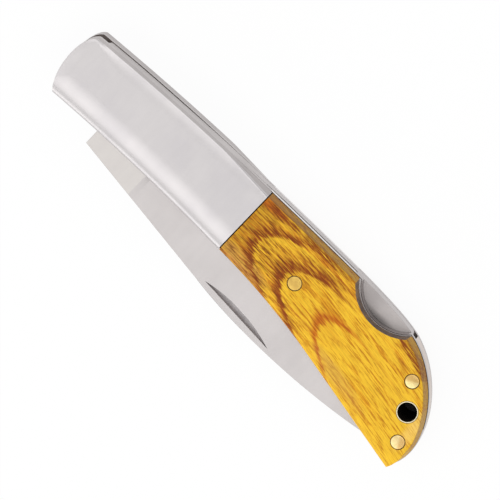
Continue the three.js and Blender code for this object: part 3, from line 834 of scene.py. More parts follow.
# Painted shade: the lock bar's sides get a darker copy of its steel, darker still towards the
# bottom.
BAR_SIDE_SHADE = ground_along("lock_bar_side_shade", rgb(186, 180, 178), rgb(170, 164, 163), 0.5,
                        line_contrast=0.12, dull_from=(7.6, 6.0))
SPACER_GROUND = ground_along("spacer_ground", rgb(216, 205, 198), rgb(208, 196, 188), 0.4)
SPRING_GREY = ground_along("spring_grey", rgb(150, 148, 150), rgb(128, 127, 131), 0.38)
LOCK_PIN_BRASS = Brass("lock_pin_brass", rgb(220, 184, 98), rgb(210, 172, 92), 0.34)
# The upper and lower pins get a painted sheen.
UPPER_PIN_BRASS = Brass("upper_pin_brass", rgb(238, 220, 158), rgb(208, 168, 100), 0.3,
                        (83.3, 2.7), 30.0)
LOWER_PIN_BRASS = Brass("lower_pin_brass", rgb(238, 216, 156), rgb(212, 172, 108), 0.3,
                        (89.5, -8.0), -60.0)
TUBE_BRASS = Brass("tube_brass", rgb(230, 208, 150), rgb(206, 174, 110), 0.36)
WASHER_BRONZE = Brass("washer_bronze", rgb(206, 160, 98), rgb(170, 122, 66), 0.4)
SCALE_WOOD = FiguredWood("figured_wood")
# Painted shade in seams and gaps, with some oil and dust.
SEAM_OIL_AND_SHADE = GrimeAndShade("seam_oil_and_shade", rgb(36, 26, 22), rgb(62, 48, 40))
# Unpolished inner steel, darkened as painted shade where it lies inside the handle.
INNER_STEEL_AND_SHADE = GrimeAndShade("unpolished_steel_and_shade", rgb(104, 94, 90), rgb(128, 118, 114), 0.55, 0.7)
# Painted shade: the nail nick's floor is a darker grey metal than the blade.
NICK_FLOOR_SHADE = GrimeAndShade("nick_floor_shade", rgb(152, 147, 147), rgb(170, 165, 165), 0.45, 1.0)
# Near black inside the tube's bore: painted shade, with some tarnish.
BORE_TARNISH_AND_SHADE = GrimeAndShade("bore_tarnish_and_shade", rgb(14, 7, 3), rgb(34, 24, 14), 0.75)
# Painted shade on the wood's wall in the thumb cut.
CUT_WALL_SHADE = GrimeAndShade("cut_wall_shade", rgb(92, 78, 74), rgb(136, 112, 88))
# Painted shade in the thin groove round each pin.
PIN_RING_SHADE = GrimeAndShade("pin_ring_shade", rgb(92, 66, 26), rgb(122, 92, 42))


def refinish(piece: Piece, finish: Finish, chosen: Callable[[Vector, Vector], bool]) -> None:
    """Gives some faces of a dressed piece another finish.

    Args:
        piece: The piece.
        finish: The other finish.
        chosen: Tells from a face's centre, in millimetres, and its normal whether it is changed.
    """
    mesh = piece.data
    faces = [face for face in mesh.polygons if chosen(face.center / MM, face.normal)]
    mesh.materials.append(finish.material())
    for face in faces:
        face.material_index = len(mesh.materials) - 1
    log.info("%s: %d faces with %s", piece.name, len(faces), finish.name)


def dress(piece: Piece, finish: Finish) -> None:
    """Gives a piece one finish all over.

    Args:
        piece: The piece.
        finish: The finish.
    """
    piece.data.materials.clear()
    piece.data.materials.append(finish.material())
    piece.data.polygons.foreach_set("material_index", [0] * len(piece.data.polygons))


def complete(piece: Piece, body: str, node: str) -> None:
    """Smooths a dressed piece and puts it in its node's place.

    Args:
        piece: The piece.
        body: The body that it moves with.
        node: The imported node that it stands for.
    """
    mesh = piece.data
    mesh.polygons.foreach_set("use_smooth", [True] * len(mesh.polygons))
    mesh.set_sharp_from_angle(angle=SHARP_ANGLE)
    weighting = piece.modifiers.new("flat_faces_stay_flat", "WEIGHTED_NORMAL")
    weighting.keep_sharp = True
    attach(piece, body)
    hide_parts(node)
    log.info("%s: %d faces on %s", piece.name, len(mesh.polygons), body)


# Sub-assemblies

def packed(node: str, end: int, axis: int, room: float = 0.0) -> float:
    """Declares a field read from the low (0) or high (1) end of a node's box, plus some room."""
    return field(default_factory=lambda: box_mm(node)[end][axis] + room)


@dataclass
class Layers:
    """Heights of the knife's layers in millimetres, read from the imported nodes."""

    rest: float = packed("rear_scale", 0, 2)
    top: float = packed("front_scale", 1, 2)
    slot_low: float = packed("rear_liner", 1, 2)
    slot_high: float = packed("front_liner", 0, 2)
    cover: float = packed("front_liner", 1, 2)

    @property
    def middle(self) -> float:
        """The height of the middle plane."""
        return (self.rest + self.top) / 2


@dataclass
class HandleOutline:
    """The handle's outline seen from the front, in millimetres."""

    nose_x: float = packed("front_liner", 0, 0, 0.005)
    butt_x: float = packed("front_liner", 1, 0, -0.005)
    spine_corner: Point = (-6.8, 8.75)
    belly_corner: Point = (-6.4, -5.5)
    nose_pull: Point = (7.2, -1.2)
    crest: Point = (36.0, 10.3)
    crest_share: float = 0.52
    crest_end: float = 6.0
    spacer_setback: float = 14.65
    spine_at_butt: float = 8.65
    butt_bulge: float = 5.3
    butt_lift: float = 1.2
    butt_pull: Point = (1.5, 0.46)
    butt_widest_y: float = -8.5
    tip_setback: float = 1.5
    tip_y: float = -13.6
    belly_hollow: float = -4.3
    belly_at_joint: float = -5.15
    belly_sag: float = 0.1
    belly_bend: Point = (28.7, -8.0)
    steps: int = 36

    @property
    def spacer_x(self) -> float:
        """Where the spacer's front face meets the spine."""
        return self.butt_x - self.spacer_setback

    @property
    def tip(self) -> Point:
        """The butt's lower tip."""
        return (self.butt_x - self.tip_setback, self.tip_y)

    def belly(self) -> Points:
        """Samples the belly from the nose to the butt's tip.

        Returns:
            The points.
        """
        corner, (crest_x, _) = self.belly_corner, self.crest
        bend = (self.butt_x - self.belly_bend[0], self.belly_bend[1])
        joint = (crest_x, self.belly_at_joint)
        hollow = ((corner[0] + crest_x) / 2, self.belly_hollow)
        sag = ((crest_x + bend[0]) / 2, self.belly_at_joint - self.belly_sag)
        return closed(bezier([corner, hollow, joint], self.steps),
                      bezier([joint, sag, bend], self.steps),
                      bezier([bend, self.tip], self.steps // 2))

    def spine(self) -> Points:
        """Samples the spine from the nose to the spacer.

        Returns:
            The points.
        """
        corner, crest, end = self.spine_corner, self.crest, (self.spacer_x, self.spine_at_butt)
        front = bezier([corner, ((corner[0] + crest[0]) / 2, crest[1]), crest], self.steps)
        pull = (crest[0] + self.crest_share * (end[0] - crest[0]), crest[1])
        rear = bezier([crest, pull, (end[0] - self.crest_end, crest[1]), end], self.steps)
        return np.vstack([front, rear[1:]])

    def spine_at(self, x: Amount) -> Amount:
        """Gives the spine's height at x."""
        spine = self.spine()
        return np.interp(x, spine[:, 0], spine[:, 1])

    def butt(self) -> Points:
        """Samples the butt from its tip up to the spacer.

        Returns:
            The points.
        """
        widest = (self.butt_x, self.butt_widest_y)
        below = (self.butt_x, (self.tip_y + self.butt_widest_y) / 2)
        low = bezier([self.tip, below, widest], self.steps // 9)
        bulge, end = self.butt_bulge, (self.spacer_x, self.spine_at_butt)
        lift = (self.butt_x, self.butt_widest_y + self.butt_lift * bulge)
        pull = (end[0] + self.butt_pull[0] * bulge, end[1] - self.butt_pull[1] * bulge)
        return np.vstack([low, bezier([widest, lift, pull, end], 2 * self.steps)[1:]])

    def nose(self) -> Points:
        """Samples the nose from the spine down to the belly.

        Returns:
            The points.
        """
        upper, lower = self.spine_corner, self.belly_corner
        pull_x = (8 * self.nose_x - upper[0] - lower[0]) / 6
        return bezier([upper, *((pull_x, y) for y in self.nose_pull), lower], self.steps)

    def loop(self) -> Points:
        """Gives the whole outline, anticlockwise."""
        return closed(self.belly(), self.butt(), self.spine()[::-1], self.nose())


@dataclass
class ThumbCut:
    """The flared crescent over the lock bar's rear end."""

    centre: Point = (70.0, 14.9)
    inner_radius: float = 8.8
    outer_radius: float = 9.5
    roll_centre: Point = (69.85, 15.75)
    roll_radius: float = 10.35
    roll_steps: int = 10
    rim: float = 0.3
    round_steps: int = 256
    lip: float = 0.1
    ledge: float = 0.45
    ledge_drop: float = 0.01

    def tool(self, layers: Layers) -> Piece:
        """Makes the cutter for the front side.

        Args:
            layers: The knife's layers.

        Returns:
            A solid that leaves a broken edge on the liner and a rolled one on the wood.
        """
        low, seam, high = layers.slot_high, layers.cover, layers.top
        inner, lip, ledge_y = self.inner_radius, self.lip, seam - self.ledge_drop
        seam_radius = inner + (self.outer_radius - inner) * (seam - low) / (high - low)
        start = seam_radius + lip
        foot = start + (self.roll_radius - start) * self.ledge
        profile = [
            (inner + lip, low - 1.0, 0.0),
            (inner + lip, low, 0.0),
            (inner, low + lip, 0.0),
            (seam_radius, seam - lip, 0.0),
            (start, ledge_y, 0.0),
            (foot, ledge_y, self.ledge),
        ]
        for i in range(self.roll_steps + 1):
            turn = i / self.roll_steps * math.pi / 2
            moved = self.ledge + (1 - self.ledge) * (1 - math.cos(turn))
            radius = start + (self.roll_radius - start) * moved
            profile.append((radius, seam + lip + (high - seam - lip) * math.sin(turn), moved))
        rim = self.roll_radius + self.rim
        profile += [(rim, high + 0.05, 1.0), (rim, high + 1.0, 1.0)]
        first, last = np.array(self.centre), np.array(self.roll_centre)
        return loft("thumb_cut", [
            level(circle(first + (last - first) * moved, radius, self.round_steps), height)
            for radius, height, moved in profile])


@dataclass
class Fastener:
    """A round pin, rivet or tube that stands across the knife.

    The crown is how high its ends are domed, as a share of the full dome.
    """

    node: str
    radius: float
    bore: float = 0.0
    crown: float = 1.0
    reach: float = 0.5
    ring_share: float = 0.91

    @cached_property
    def axis(self) -> Point:
        """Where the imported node's axis stands."""
        low, high = box_mm(self.node)
        return (float(low[0] + high[0]) / 2, float(low[1] + high[1]) / 2)

    def drill(self, layer: Piece, low: float, high: float, clearance: float, lip: float,
              end: Hole = Hole.THROUGH) -> None:
        """Drills its hole in a layer, with broken edges.

        Args:
            layer: The layer's piece.
            low: The layer's lower face.
            high: The layer's upper face, or the end of a blind hole.
            clearance: How much wider than the pin the hole is.
            lip: The width of the broken edges.
            end: Whether the hole goes through.
        """
        radius = self.radius + clearance
        wide = radius + lip
        profile = [(wide, low - self.reach), (wide, low), (radius, low + lip), (radius, high - lip)]
        if end is Hole.THROUGH:
            profile += [(wide, high), (wide, high + self.reach)]
        shape(layer, revolve(f"hole_{self.node}", self.axis, profile), Cut.AWAY)

    def _profile(self, layers: Layers) -> list[Point]:
        """Lists radius and height from the rear end to the front one.

        Args:
            layers: The knife's layers.

        Returns:
            The side with crowned ends, or for a tube its wall with rolled ends.
        """
        if self.bore:
            ends = [(0.0, 0.12), (0.15, 0.03), (0.35, 0.0), (0.65, 0.0), (0.85, 0.03), (1.0, 0.14)]
            ends = [(self.radius - share * (self.radius - self.bore), drop) for share, drop in ends]
        else:
            ends = [(1.0, 0.2), (0.97, 0.11), (0.9, 0.07), (0.78, 0.048), (0.6, 0.027),
                    (0.35, 0.009), (0.02, 0.0)]
            ends = [(share * self.radius, drop * self.crown) for share, drop in ends]
        lower = [(radius, layers.rest + drop) for radius, drop in reversed(ends)]
        return lower + [(radius, layers.top - drop) for radius, drop in ends]

    def distance(self, place: Vector) -> float:
        """Tells how far from its axis a place lies."""
        return (place.xy - Vector(self.axis)).length

    def build(self, layers: Layers, finish: Finish) -> None:
        """Turns the pin or tube, dresses it and puts it in place.

        Args:
            layers: The knife's layers.
            finish: Its finish.
        """
        name = f"{self.node}_turned"
        piece = revolve(name, self.axis, self._profile(layers), bool(self.bore))
        dress(piece, finish)
        if self.bore:
            # Painted shade with some tarnish inside the bore.
            inside = self.bore + 0.02
            refinish(piece, BORE_TARNISH_AND_SHADE, lambda centre, _: self.distance(centre) < inside)
        else:
            # Painted shade on the pin's rim.
            ring = self.ring_share * self.radius
            refinish(piece, PIN_RING_SHADE, lambda centre, _: self.distance(centre) > ring)
        complete(piece, HANDLE_BODY, self.node)


LOCK_PIN = Fastener("lock_bar_pin", 1.5, crown=0.04 / 0.07)
UPPER_PIN = Fastener("spacer_pin_upper", 1.5)
LOWER_PIN = Fastener("spacer_pin_lower", 1.5)
LANYARD_TUBE = Fastener("lanyard_tube", 2.2, bore=1.93)
PIVOT = Fastener("pivot_pin", 2.0)
RIVETS = (Fastener("front_bolster_rivet_1", 1.0), Fastener("front_bolster_rivet_2", 1.0))
SHOWN = (LOCK_PIN, UPPER_PIN, LOWER_PIN, LANYARD_TUBE)


@dataclass
class Handle:
    """Bolsters, scales, liners, spacer and the fasteners that show in them."""

    layers: Layers
    outline: HandleOutline
    thumb_cut: ThumbCut
    joint_x: float = 38.2
    joint_gap: float = 0.24
    joint_groove: float = 0.03
    edge_grows_from_x: float = 26.0
    belly_easing: float = 1.2
    nose_easing: Table = ((0.0, 7.0), (0.25, 1.0))
    seam_inset: float = 0.15
    seam_edges: Point = (0.012, 0.12)
    least_lip: float = 0.2
    liner_inset: float = 0.03
    crisp_edge: float = 0.09
    crown_width: float = 2.6
    crown_drop: float = 0.18
    roll_pulls: tuple[Point, ...] = ((0.55, 1.2), (0.68, 0.01), (1.0, 0.01))
    belly_round: Point = (5.4, 1.5)
    belly_lowered: float = 0.03
    round_steps: int = 20
    slot_edge: float = 0.02
    slot_seam: float = 0.13
    spine_from_y: float = 8.0
    hook_room: Table = ((-6.5, -4.0, 2.0, 14.0, 22.0, 30.0), (0.02, 0.09, 1.0, 1.0, 0.6, 0.0))
    skin: float = 0.38
    highlight_to_x: float = 61.0
    spacer_wall: float = 1.6
    spacer_foot: float = 0.9
    spacer_depth: float = 6.5
    spacer_edge: float = 0.03
    seat: Corner = (2.62, 4.6, 0.74)

    def _growth(self, x: Points) -> Points:
        """Tells how far the bolster's crisp edge has grown into the wood's rolled one at x."""
        return np.clip((x - self.edge_grows_from_x) / (self.joint_x - self.edge_grows_from_x), 0, 1)

    def _share(self, loop: Points) -> Points:
        """Tells how much of the edge each point has: the belly has a round of its own.

        Args:
            loop: The outline's points.

        Returns:
            A number from 0 to 1 for each point.
        """
        on_belly = np.arange(len(loop)) < len(self.outline.belly()) - 1
        tip_y, widest_y = self.outline.tip_y, self.outline.butt_widest_y
        toward_tip = np.clip((loop[:, 1] - tip_y) / (widest_y - tip_y), 0, 1)
        over_belly = (loop[:, 1] - self.outline.belly_corner[1]) / self.belly_easing
        from_corner = np.linalg.norm(loop - np.array(self.outline.spine_corner), axis=1)
        eased = np.clip(over_belly, 0, 1) * np.interp(from_corner, *self.nose_easing)
        return np.where(on_belly, 0.0, np.where(loop[:, 0] > self.joint_x, toward_tip, eased))

    def _sections(self) -> tuple[Points, Points]:
        """Samples the bolster's crisp edge and the wood's rolled one, from the seam to the land.

        Returns:
            Two arrays of inset and drop with as many points.
        """
        depth = self.layers.top - self.layers.cover
        crisp, drop, thin = self.crisp_edge, self.crown_drop, self.seam_edges[0]
        corner = bezier([(0.0, drop + crisp), (0.0, drop), (crisp, drop)], 9)
        crown = np.linspace(0.0, 1.0, 7)[1:]
        lead = np.column_stack([crisp + self.crown_width * crown, drop * (1 - crown) ** 2])
        bolster = np.vstack([[(thin, depth), (0.0, depth - thin)], corner, lead])
        roll = bezier([(self.seam_inset, depth - thin), *self.roll_pulls], len(corner))
        flat_x, flat_drop = self.roll_pulls[-1]
        reach = flat_x + (crisp + self.crown_width - flat_x) * crown
        flat = np.column_stack([reach, flat_drop * (1 - crown)])
        return bolster, np.vstack([[(self.seam_inset + thin, depth)], roll, flat])

    def _cover(self) -> Piece:
        """Makes the front outer layer in one piece: flat land, shaped edges, thumb cut.

        Returns:
            The layer.
        """
        loop = self.outline.loop()
        growth, share = self._growth(loop[:, 0]), self._share(loop)
        rows = []
        for bolster, wood in zip(*self._sections()):
            width, drop = (start + (end - start) * growth for start, end in zip(bolster, wood))
            rows.append((width * share, self.layers.top - drop))
        cover = layered("cover", loop, rows)
        shape(cover, self._belly_tool(), Cut.COMMON)
        shape(cover, self.thumb_cut.tool(self.layers), Cut.AWAY)
        return cover

    def _belly_tool(self) -> Piece:
        """Makes the solid above the broad round along the belly.

        Returns:
            The tool.
        """
        (width, depth), top = self.belly_round, self.layers.top
        belly = self.outline.belly() - (0, self.belly_lowered)
        far_y, low, reach = 40.0, -1.0, 12.0
        heading = belly[-1] - belly[-2]
        after = belly[-1] + heading / np.linalg.norm(heading) * reach
        turn = np.linspace(math.pi / 2, 0.0, self.round_steps + 1)
        rings = []
        for x, y in np.vstack([belly[0] - (reach, 0), belly, after]):
            rounded = zip(y + width * (1 - np.cos(turn)), top - depth * (1 - np.sin(turn)))
            section = [(far_y, low), (far_y, top), *rounded, (y, low)]
            rings.append(np.array([(x, across, height) for across, height in section]))
        return loft("belly_round", rings)

    def _on_both_sides(self, source: Piece, part: str) -> None:
        """Puts a front piece in place and its mirror image on the rear side.

        Args:
            source: The dressed front piece.
            part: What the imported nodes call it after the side.
        """
        rear = mirrored(source, f"rear_{part}_skin", self.layers.middle)
        source.name = f"front_{part}_skin"
        complete(source, HANDLE_BODY, f"front_{part}")
        complete(rear, HANDLE_BODY, f"rear_{part}")

    def _covers(self) -> None:
        """Makes both bolsters and both scales."""
        low, top = self.layers.cover, self.layers.top
        bolster = self._cover()
        scale = placed("scale", bolster.data.copy())
        nose_end, butt_start = (self.joint_x + way * self.joint_gap / 2 for way in (-1, 1))
        shape(bolster, block("nose_side", (-FAR, -FAR, -FAR), (nose_end, FAR, FAR)), Cut.COMMON)
        shape(scale, block("butt_side", (butt_start, -FAR, -FAR), (FAR, FAR, FAR)), Cut.COMMON)
        for hidden in (PIVOT, *RIVETS):
            hidden.drill(bolster, low, top - self.skin, PRESSED, 0.01, Hole.BLIND)
        dress(bolster, BOLSTER_SATIN)
        # Painted shade on the bolster's spine-facing sides.
        refinish(bolster, BOLSTER_SPINE_SHADE, lambda _, normal: normal.z < STEEP < normal.y)
        # Painted shade on the bolster's face at the joint gap.
        refinish(bolster, SEAM_OIL_AND_SHADE,
                 lambda centre, normal: normal.x > 0.9 and centre.x > self.joint_x - 0.2)
        for shown in SHOWN:
            shown.drill(scale, low, top, PRESSED, 0.04)
        dress(scale, SCALE_WOOD)
        # Painted shade on the thumb cut's wall.
        refinish(scale, CUT_WALL_SHADE, self._in_thumb_cut)
        # Painted shade on the scale's broken edge round each pin.
        refinish(scale, PIN_RING_SHADE, self._at_hole)
        # Painted shade on the scale's face at the joint gap and on its hidden underside.
        refinish(scale, SEAM_OIL_AND_SHADE,
                 lambda centre, normal: centre.z < low + 0.05 or normal.x < -0.9)
        self._on_both_sides(bolster, "bolster")
        self._on_both_sides(scale, "scale")

    def _at_hole(self, centre: Vector, normal: Vector) -> bool:
        """Tells whether a face is part of the broken edge round a pin's hole."""
        near_top = centre.z > self.layers.top - 0.2 and normal.z < 0.97
        return near_top and any(pin.distance(centre) < pin.radius + 0.1 for pin in SHOWN)

    def _in_thumb_cut(self, centre: Vector, normal: Vector) -> bool:
        """Tells whether a face is part of the thumb cut's wall.

        Args:
            centre: The face's centre.
            normal: The face's normal.

        Returns:
            True for a face of the wall.
        """
        inward = Vector(self.thumb_cut.centre) - centre.xy
        near = inward.length < self.thumb_cut.roll_radius
        facing = inward.normalized().dot(normal.xy.normalized())
        return near and abs(normal.z) < 0.9 and facing > 0.93

    def _liner(self, side: Side) -> Piece:
        """Makes one liner.

        Args:
            side: The liner's side. The rear one has a wider broken edge where the lock bar's hook
                runs, and the front one has the thumb cut.

        Returns:
            The dressed liner in its place.
        """
        low, high = self.layers.slot_high, self.layers.cover
        loop = self.outline.loop()
        growth, share = self._growth(loop[:, 0]), self._share(loop)
        edge = np.full(len(loop), self.slot_edge)
        if side is Side.REAR:
            x, y = loop.T
            room = np.interp(x, *self.hook_room) * self.slot_seam
            edge = np.maximum(edge, np.where(y > self.spine_from_y, room, 0.0))
        bevel = self.liner_inset * growth * share
        thin, wide = self.seam_edges
        lip = (thin + (wide - thin) * growth) * np.maximum(share, self.least_lip)
        rows = [(edge, low), (0.0, low + edge), (bevel, high - lip), (bevel + lip, high)]
        liner = layered("liner", loop, rows)
        if side is Side.FRONT:
            shape(liner, self.thumb_cut.tool(self.layers), Cut.AWAY)
        for fastener in (PIVOT, *SHOWN, *RIVETS):
            fastener.drill(liner, low, high, PRESSED, 0.02)
        half_gap, floor = self.joint_gap / 2, high - self.joint_groove
        corners = (self.joint_x - half_gap, -FAR, floor), (self.joint_x + half_gap, FAR, FAR)
        shape(liner, block("joint_groove", *corners), Cut.AWAY)
        dress(liner, LINER_GROUND)
        for finish, chosen in (
            # Painted shade in the joint groove.
            (SEAM_OIL_AND_SHADE, lambda centre, _: abs(centre.x - self.joint_x) < half_gap + 0.01
                and centre.z > floor - 0.01),
            # Painted shade on the liner's face against the lock bar's slot.
            (INNER_STEEL_AND_SHADE, lambda centre, normal: normal.z < -FLAT and centre.z < low + 0.1),
            # Painted highlight on the liner's spine face along the wood.
            (LINER_HIGHLIGHT, lambda centre, normal: self.joint_x < centre.x < self.highlight_to_x
                and abs(normal.z) < STEEP < normal.y),
            # Painted shade on the broken edges along the lock bar, and past the joint along the
            # wood.
            (SEAM_OIL_AND_SHADE, lambda centre, normal: normal.y > STEEP and (
                -FLAT < normal.z < -STEEP
                or (STEEP < normal.z < FLAT and centre.x > self.joint_x))),
        ):
            refinish(liner, finish, chosen)
        if side is Side.FRONT:
            return liner
        rear = mirrored(liner, "rear_liner", self.layers.middle)
        bpy.data.objects.remove(liner)
        return rear

    def _liners(self) -> None:
        """Makes both liners."""
        for side in Side:
            liner = self._liner(side)
            liner.name = f"{side.value}_liner_skin"
            complete(liner, HANDLE_BODY, f"{side.value}_liner")

    def _spacer(self) -> None:
        """Makes the filler between the liners round the butt, with the spring's seat."""
        low, high, outline = self.layers.slot_low, self.layers.slot_high, self.outline
        front_x, (tube_x, tube_y) = outline.spacer_x, LANYARD_TUBE.axis
        rim_x = tube_x - LANYARD_TUBE.radius - self.spacer_wall
        pin_x, pin_y = LOWER_PIN.axis
        foot_x = pin_x - LOWER_PIN.radius - self.spacer_foot
        belly = outline.belly()
        foot = (foot_x, float(np.interp(foot_x, belly[:, 0], belly[:, 1])))
        outer = np.vstack([[foot], belly[belly[:, 0] > foot_x], outline.butt()])
        head_y = outline.spine_at_butt - self.spacer_depth
        rim = (rim_x, tube_y)
        hollow = bezier([(front_x, head_y), (front_x, tube_y + 1), (rim_x, tube_y + 2), rim], 20)
        heel = bezier([rim, (rim_x, tube_y - LANYARD_TUBE.radius), (foot_x, pin_y + 1)], 16)
        loop = closed(outer, hollow, heel)
        spacer = plate("butt_spacer_ground", loop, low, high, self.spacer_edge)
        for fastener in (UPPER_PIN, LOWER_PIN, LANYARD_TUBE):
            fastener.drill(spacer, low, high, PRESSED, 0.02)
        depth, seat_y, room = self.seat
        corners = ((front_x - 1, seat_y - room / 2, -FAR),
                   (front_x + depth, seat_y + room / 2, FAR))
        shape(spacer, block("spring_seat", *corners), Cut.AWAY)
        dress(spacer, SPACER_GROUND)
        # Painted shade on the spacer's faces towards the nose, inside the handle.
        refinish(spacer, INNER_STEEL_AND_SHADE,
                 lambda centre, normal: normal.x < -0.2 and centre.x < foot_x + 2)
        complete(spacer, HANDLE_BODY, "butt_spacer")

    def build(self) -> None:
        """Builds every piece of the handle."""
        self._covers()
        self._liners()
        self._spacer()
        brasses = (LOCK_PIN_BRASS, UPPER_PIN_BRASS, LOWER_PIN_BRASS, TUBE_BRASS)
        for fastener, brass in zip(SHOWN, brasses):
            fastener.build(self.layers, brass)


@dataclass
class Blade:
    """The blade, closed: tang with its lock notch, ricasso, flat grind and nail nick."""

    layers: Layers
    outline: HandleOutline
    tang_radius: float = 5.4
    notch_floor: float = 4.2
    shoulder_x: float = 5.1
    wall_x: float = 1.3
    ricasso_top: float = 2.6
    ricasso_end_x: float = 18.0
    tang_overlap: float = 0.5
    grind_overlap: float = 2.0
    choil_start_x: float = 13.8
    choil_length: float = 1.6
    edge_at_ricasso: float = 0.4
    plunge_length: float = 1.3
    back_bend: Point = (43.2, -13.87)
    back_low_y: float = -15.34
    back_pulls: tuple[Point, Point] = ((11.0, 0.33), (-15.4, 0.4))
    tip: Point = (85.4, -12.2)
    edge_belly: Point = (52.0, -3.35)
    edge_pulls: tuple[Point, Point] = ((14.0, -1.5), (-10.0, 4.6))
    bevel_share: float = 0.93
    half_bevel: float = 0.25
    half_edge: float = 0.05
    half_tip: float = 0.25
    taper: float = 2.5
    edge: float = 0.05
    spots: tuple[float, ...] = (0.0, 0.006, 0.25, 0.5, 0.75)
    point_steps: int = 44
    nick_start: Point = (40.6, -12.25)
    nick_slope: float = math.radians(-4)
    nick_length: float = 18.0
    nick_height: float = 1.15
    nick_depth: float = 0.4
    nick_fall: float = 0.2
    nick_box: tuple[Point, Point] = ((40.0, 60.0), (-14.5, -10.5))

    @cached_property
    def half(self) -> float:
        """Half of the blade's thickness."""
        low, high = box_mm("blade")
        return float(high[2] - low[2]) / 2

    def _back_at(self, x: float) -> float:
        """Gives the straight back's height at x.

        Args:
            x: The place along the knife.

        Returns:
            The height in millimetres.
        """
        start = -float(self.outline.spine_at(-self.shoulder_x))
        share = (x - self.shoulder_x) / (self.back_bend[0] - self.shoulder_x)
        return start + share * (self.back_bend[1] - start)

    def _tang_loop(self) -> Points:
        """Gives the outline of the round tang with its notch, relief and ricasso.

        Returns:
            The outline's points.
        """
        radius, floor, corner, top = (self.tang_radius, self.notch_floor, self.wall_x,
                                      self.ricasso_top)
        wall_y, relief_x, ricasso_x = (math.sqrt(radius ** 2 - side ** 2)
                                       for side in (corner, floor, top))
        end_x = self.ricasso_end_x - self.tang_overlap
        back_end = (end_x, self._back_at(end_x))
        shoulder = [(self.shoulder_x, self._back_at(self.shoulder_x)), (self.shoulder_x, -floor),
                    (corner, -floor)]
        low_end = math.atan2(floor, -relief_x) - math.tau
        low_round = arc((0, 0), radius, math.atan2(-wall_y, corner), low_end, 48)
        relief = [(-corner, floor), (-corner, wall_y)]
        high_start, high_end = math.atan2(wall_y, -corner), math.atan2(top, ricasso_x)
        high_round = arc((0, 0), radius, high_start, high_end, 24)
        choil = bezier([(self.choil_start_x, top), (self.ricasso_end_x - self.choil_length, top),
                        (end_x, self.edge_at_ricasso)], 12)
        return closed(np.array(shoulder), low_round, np.array(relief), high_round, choil,
                      np.array([back_end]))[::-1]

    def _stations(self) -> list[tuple[Points, Points, float, float]]:
        """Lists the lines from back to edge.

        Returns:
            For each its ends, how far it is ground, and the back's half thickness.
        """
        start, end = self.ricasso_end_x, self.ricasso_end_x + self.plunge_length
        stations = []
        for x in (start - self.grind_overlap, *np.linspace(start, end, 9)):
            grind = float(np.clip((x - start) / self.plunge_length, 0, 1))
            stations.append((self._back_point(x), self._edge_point(x), grind, self.half))
        for share in np.linspace(0.1, 1.0, 12)[:-1]:
            back_x, edge_x = (end + share * (bend[0] - end)
                              for bend in (self.back_bend, self.edge_belly))
            stations.append((self._back_point(back_x), self._edge_point(edge_x), 1.0, self.half))
        bend, belly, tip, low_y = self.back_bend, self.edge_belly, self.tip, self.back_low_y
        (x1, y1), (x2, y2) = self.back_pulls
        backs = bezier([bend, (bend[0] + x1, low_y + y1), (tip[0] + x2, low_y + y2),
                        (tip[0], tip[1] - 2 * self.half_edge)], self.point_steps)
        (x1, y1), (x2, y2) = self.edge_pulls
        edges = bezier([belly, (belly[0] + x1, belly[1] + y1), (tip[0] + x2, tip[1] + y2), tip],
                       self.point_steps)
        for i, (back, edge) in enumerate(zip(backs, edges)):
            thinned = (self.half_tip - self.half) * (i / self.point_steps) ** self.taper
            stations.append((back, edge, 1.0, self.half + thinned))
        return stations

    def _back_point(self, x: float) -> Points:
        """Gives the point on the straight back at x."""
        return np.array([x, self._back_at(x)])

    def _edge_point(self, x: float) -> Points:
        """Gives the point on the straight edge at x.

        Args:
            x: The place along the knife.

        Returns:
            The point.
        """
        share = (x - self.ricasso_end_x) / (self.edge_belly[0] - self.ricasso_end_x)
        drop = self.edge_belly[1] - self.edge_at_ricasso
        return np.array([x, self.edge_at_ricasso + share * drop])

    def _half_at(self, share: float, grind: float, half_back: float) -> float:
        """Gives the half thickness on a line from back to edge.

        Args:
            share: How far along the line.
            grind: How far the line is ground.
            half_back: The back's half thickness.

        Returns:
            The half thickness in millimetres.
        """
        if share == 0.0:
            ground = half_back - self.edge
            height = self.half - self.edge
        else:
            ground = half_back + (self.half_bevel - half_back) * min(share / self.bevel_share, 1.0)
            if share > self.bevel_share:
                ground = self.half_edge
            height = self.half + (ground - self.half) * grind
        return min(height, half_back if grind == 1.0 else self.half)

    def _grind(self) -> Piece:
        """Makes the ground part of the blade.

        Returns:
            The solid.
        """
        rings = []
        for back, edge, grind, half_back in self._stations():
            front = [(*(back + share * (edge - back)), self._half_at(share, grind, half_back))
                     for share in (*self.spots, self.bevel_share, 1.0)]
            rear = [(x, y, -z) for x, y, z in reversed(front)]
            rings.append(np.array([*front, *rear][::-1]) + (0, 0, self.layers.middle))
        return loft("grind", rings)

    def _nick_tool(self) -> Piece:
        """Makes the tilted crescent that cuts the nail nick.

        Returns:
            The tool.
        """
        half, height, depth = self.nick_length / 2, self.nick_height, self.nick_depth
        radius = (half ** 2 + height ** 2) / (2 * height)
        angle = math.asin(half / radius)
        curve = arc((0, height - radius), radius, math.pi / 2 - angle, math.pi / 2 + angle, 64)
        loop = closed(bezier([(-half, 0), (half, 0)], 32)[:-1], curve[:-1])
        tool = loft("nick", [level(loop, 0), level(loop, 3.0)])
        floor = self.layers.middle + self.half - self.nick_fall - depth
        tilt = Matrix.Rotation(math.atan2(depth, height), 4, "X")
        move = Matrix.Translation((half * MM, 0, floor * MM))
        start = Matrix.Translation((self.nick_start[0] * MM, self.nick_start[1] * MM, 0))
        tool.data.transform(start @ Matrix.Rotation(self.nick_slope, 4, "Z") @ move @ tilt)
        return tool

    def _in_nick(self, centre: Vector, normal: Vector) -> bool:
        """Tells whether a face is the nail nick's floor."""
        inside = all(low < at < high for at, (low, high) in zip(centre, self.nick_box))
        return inside and normal.y < -0.2 and normal.z > 0.7

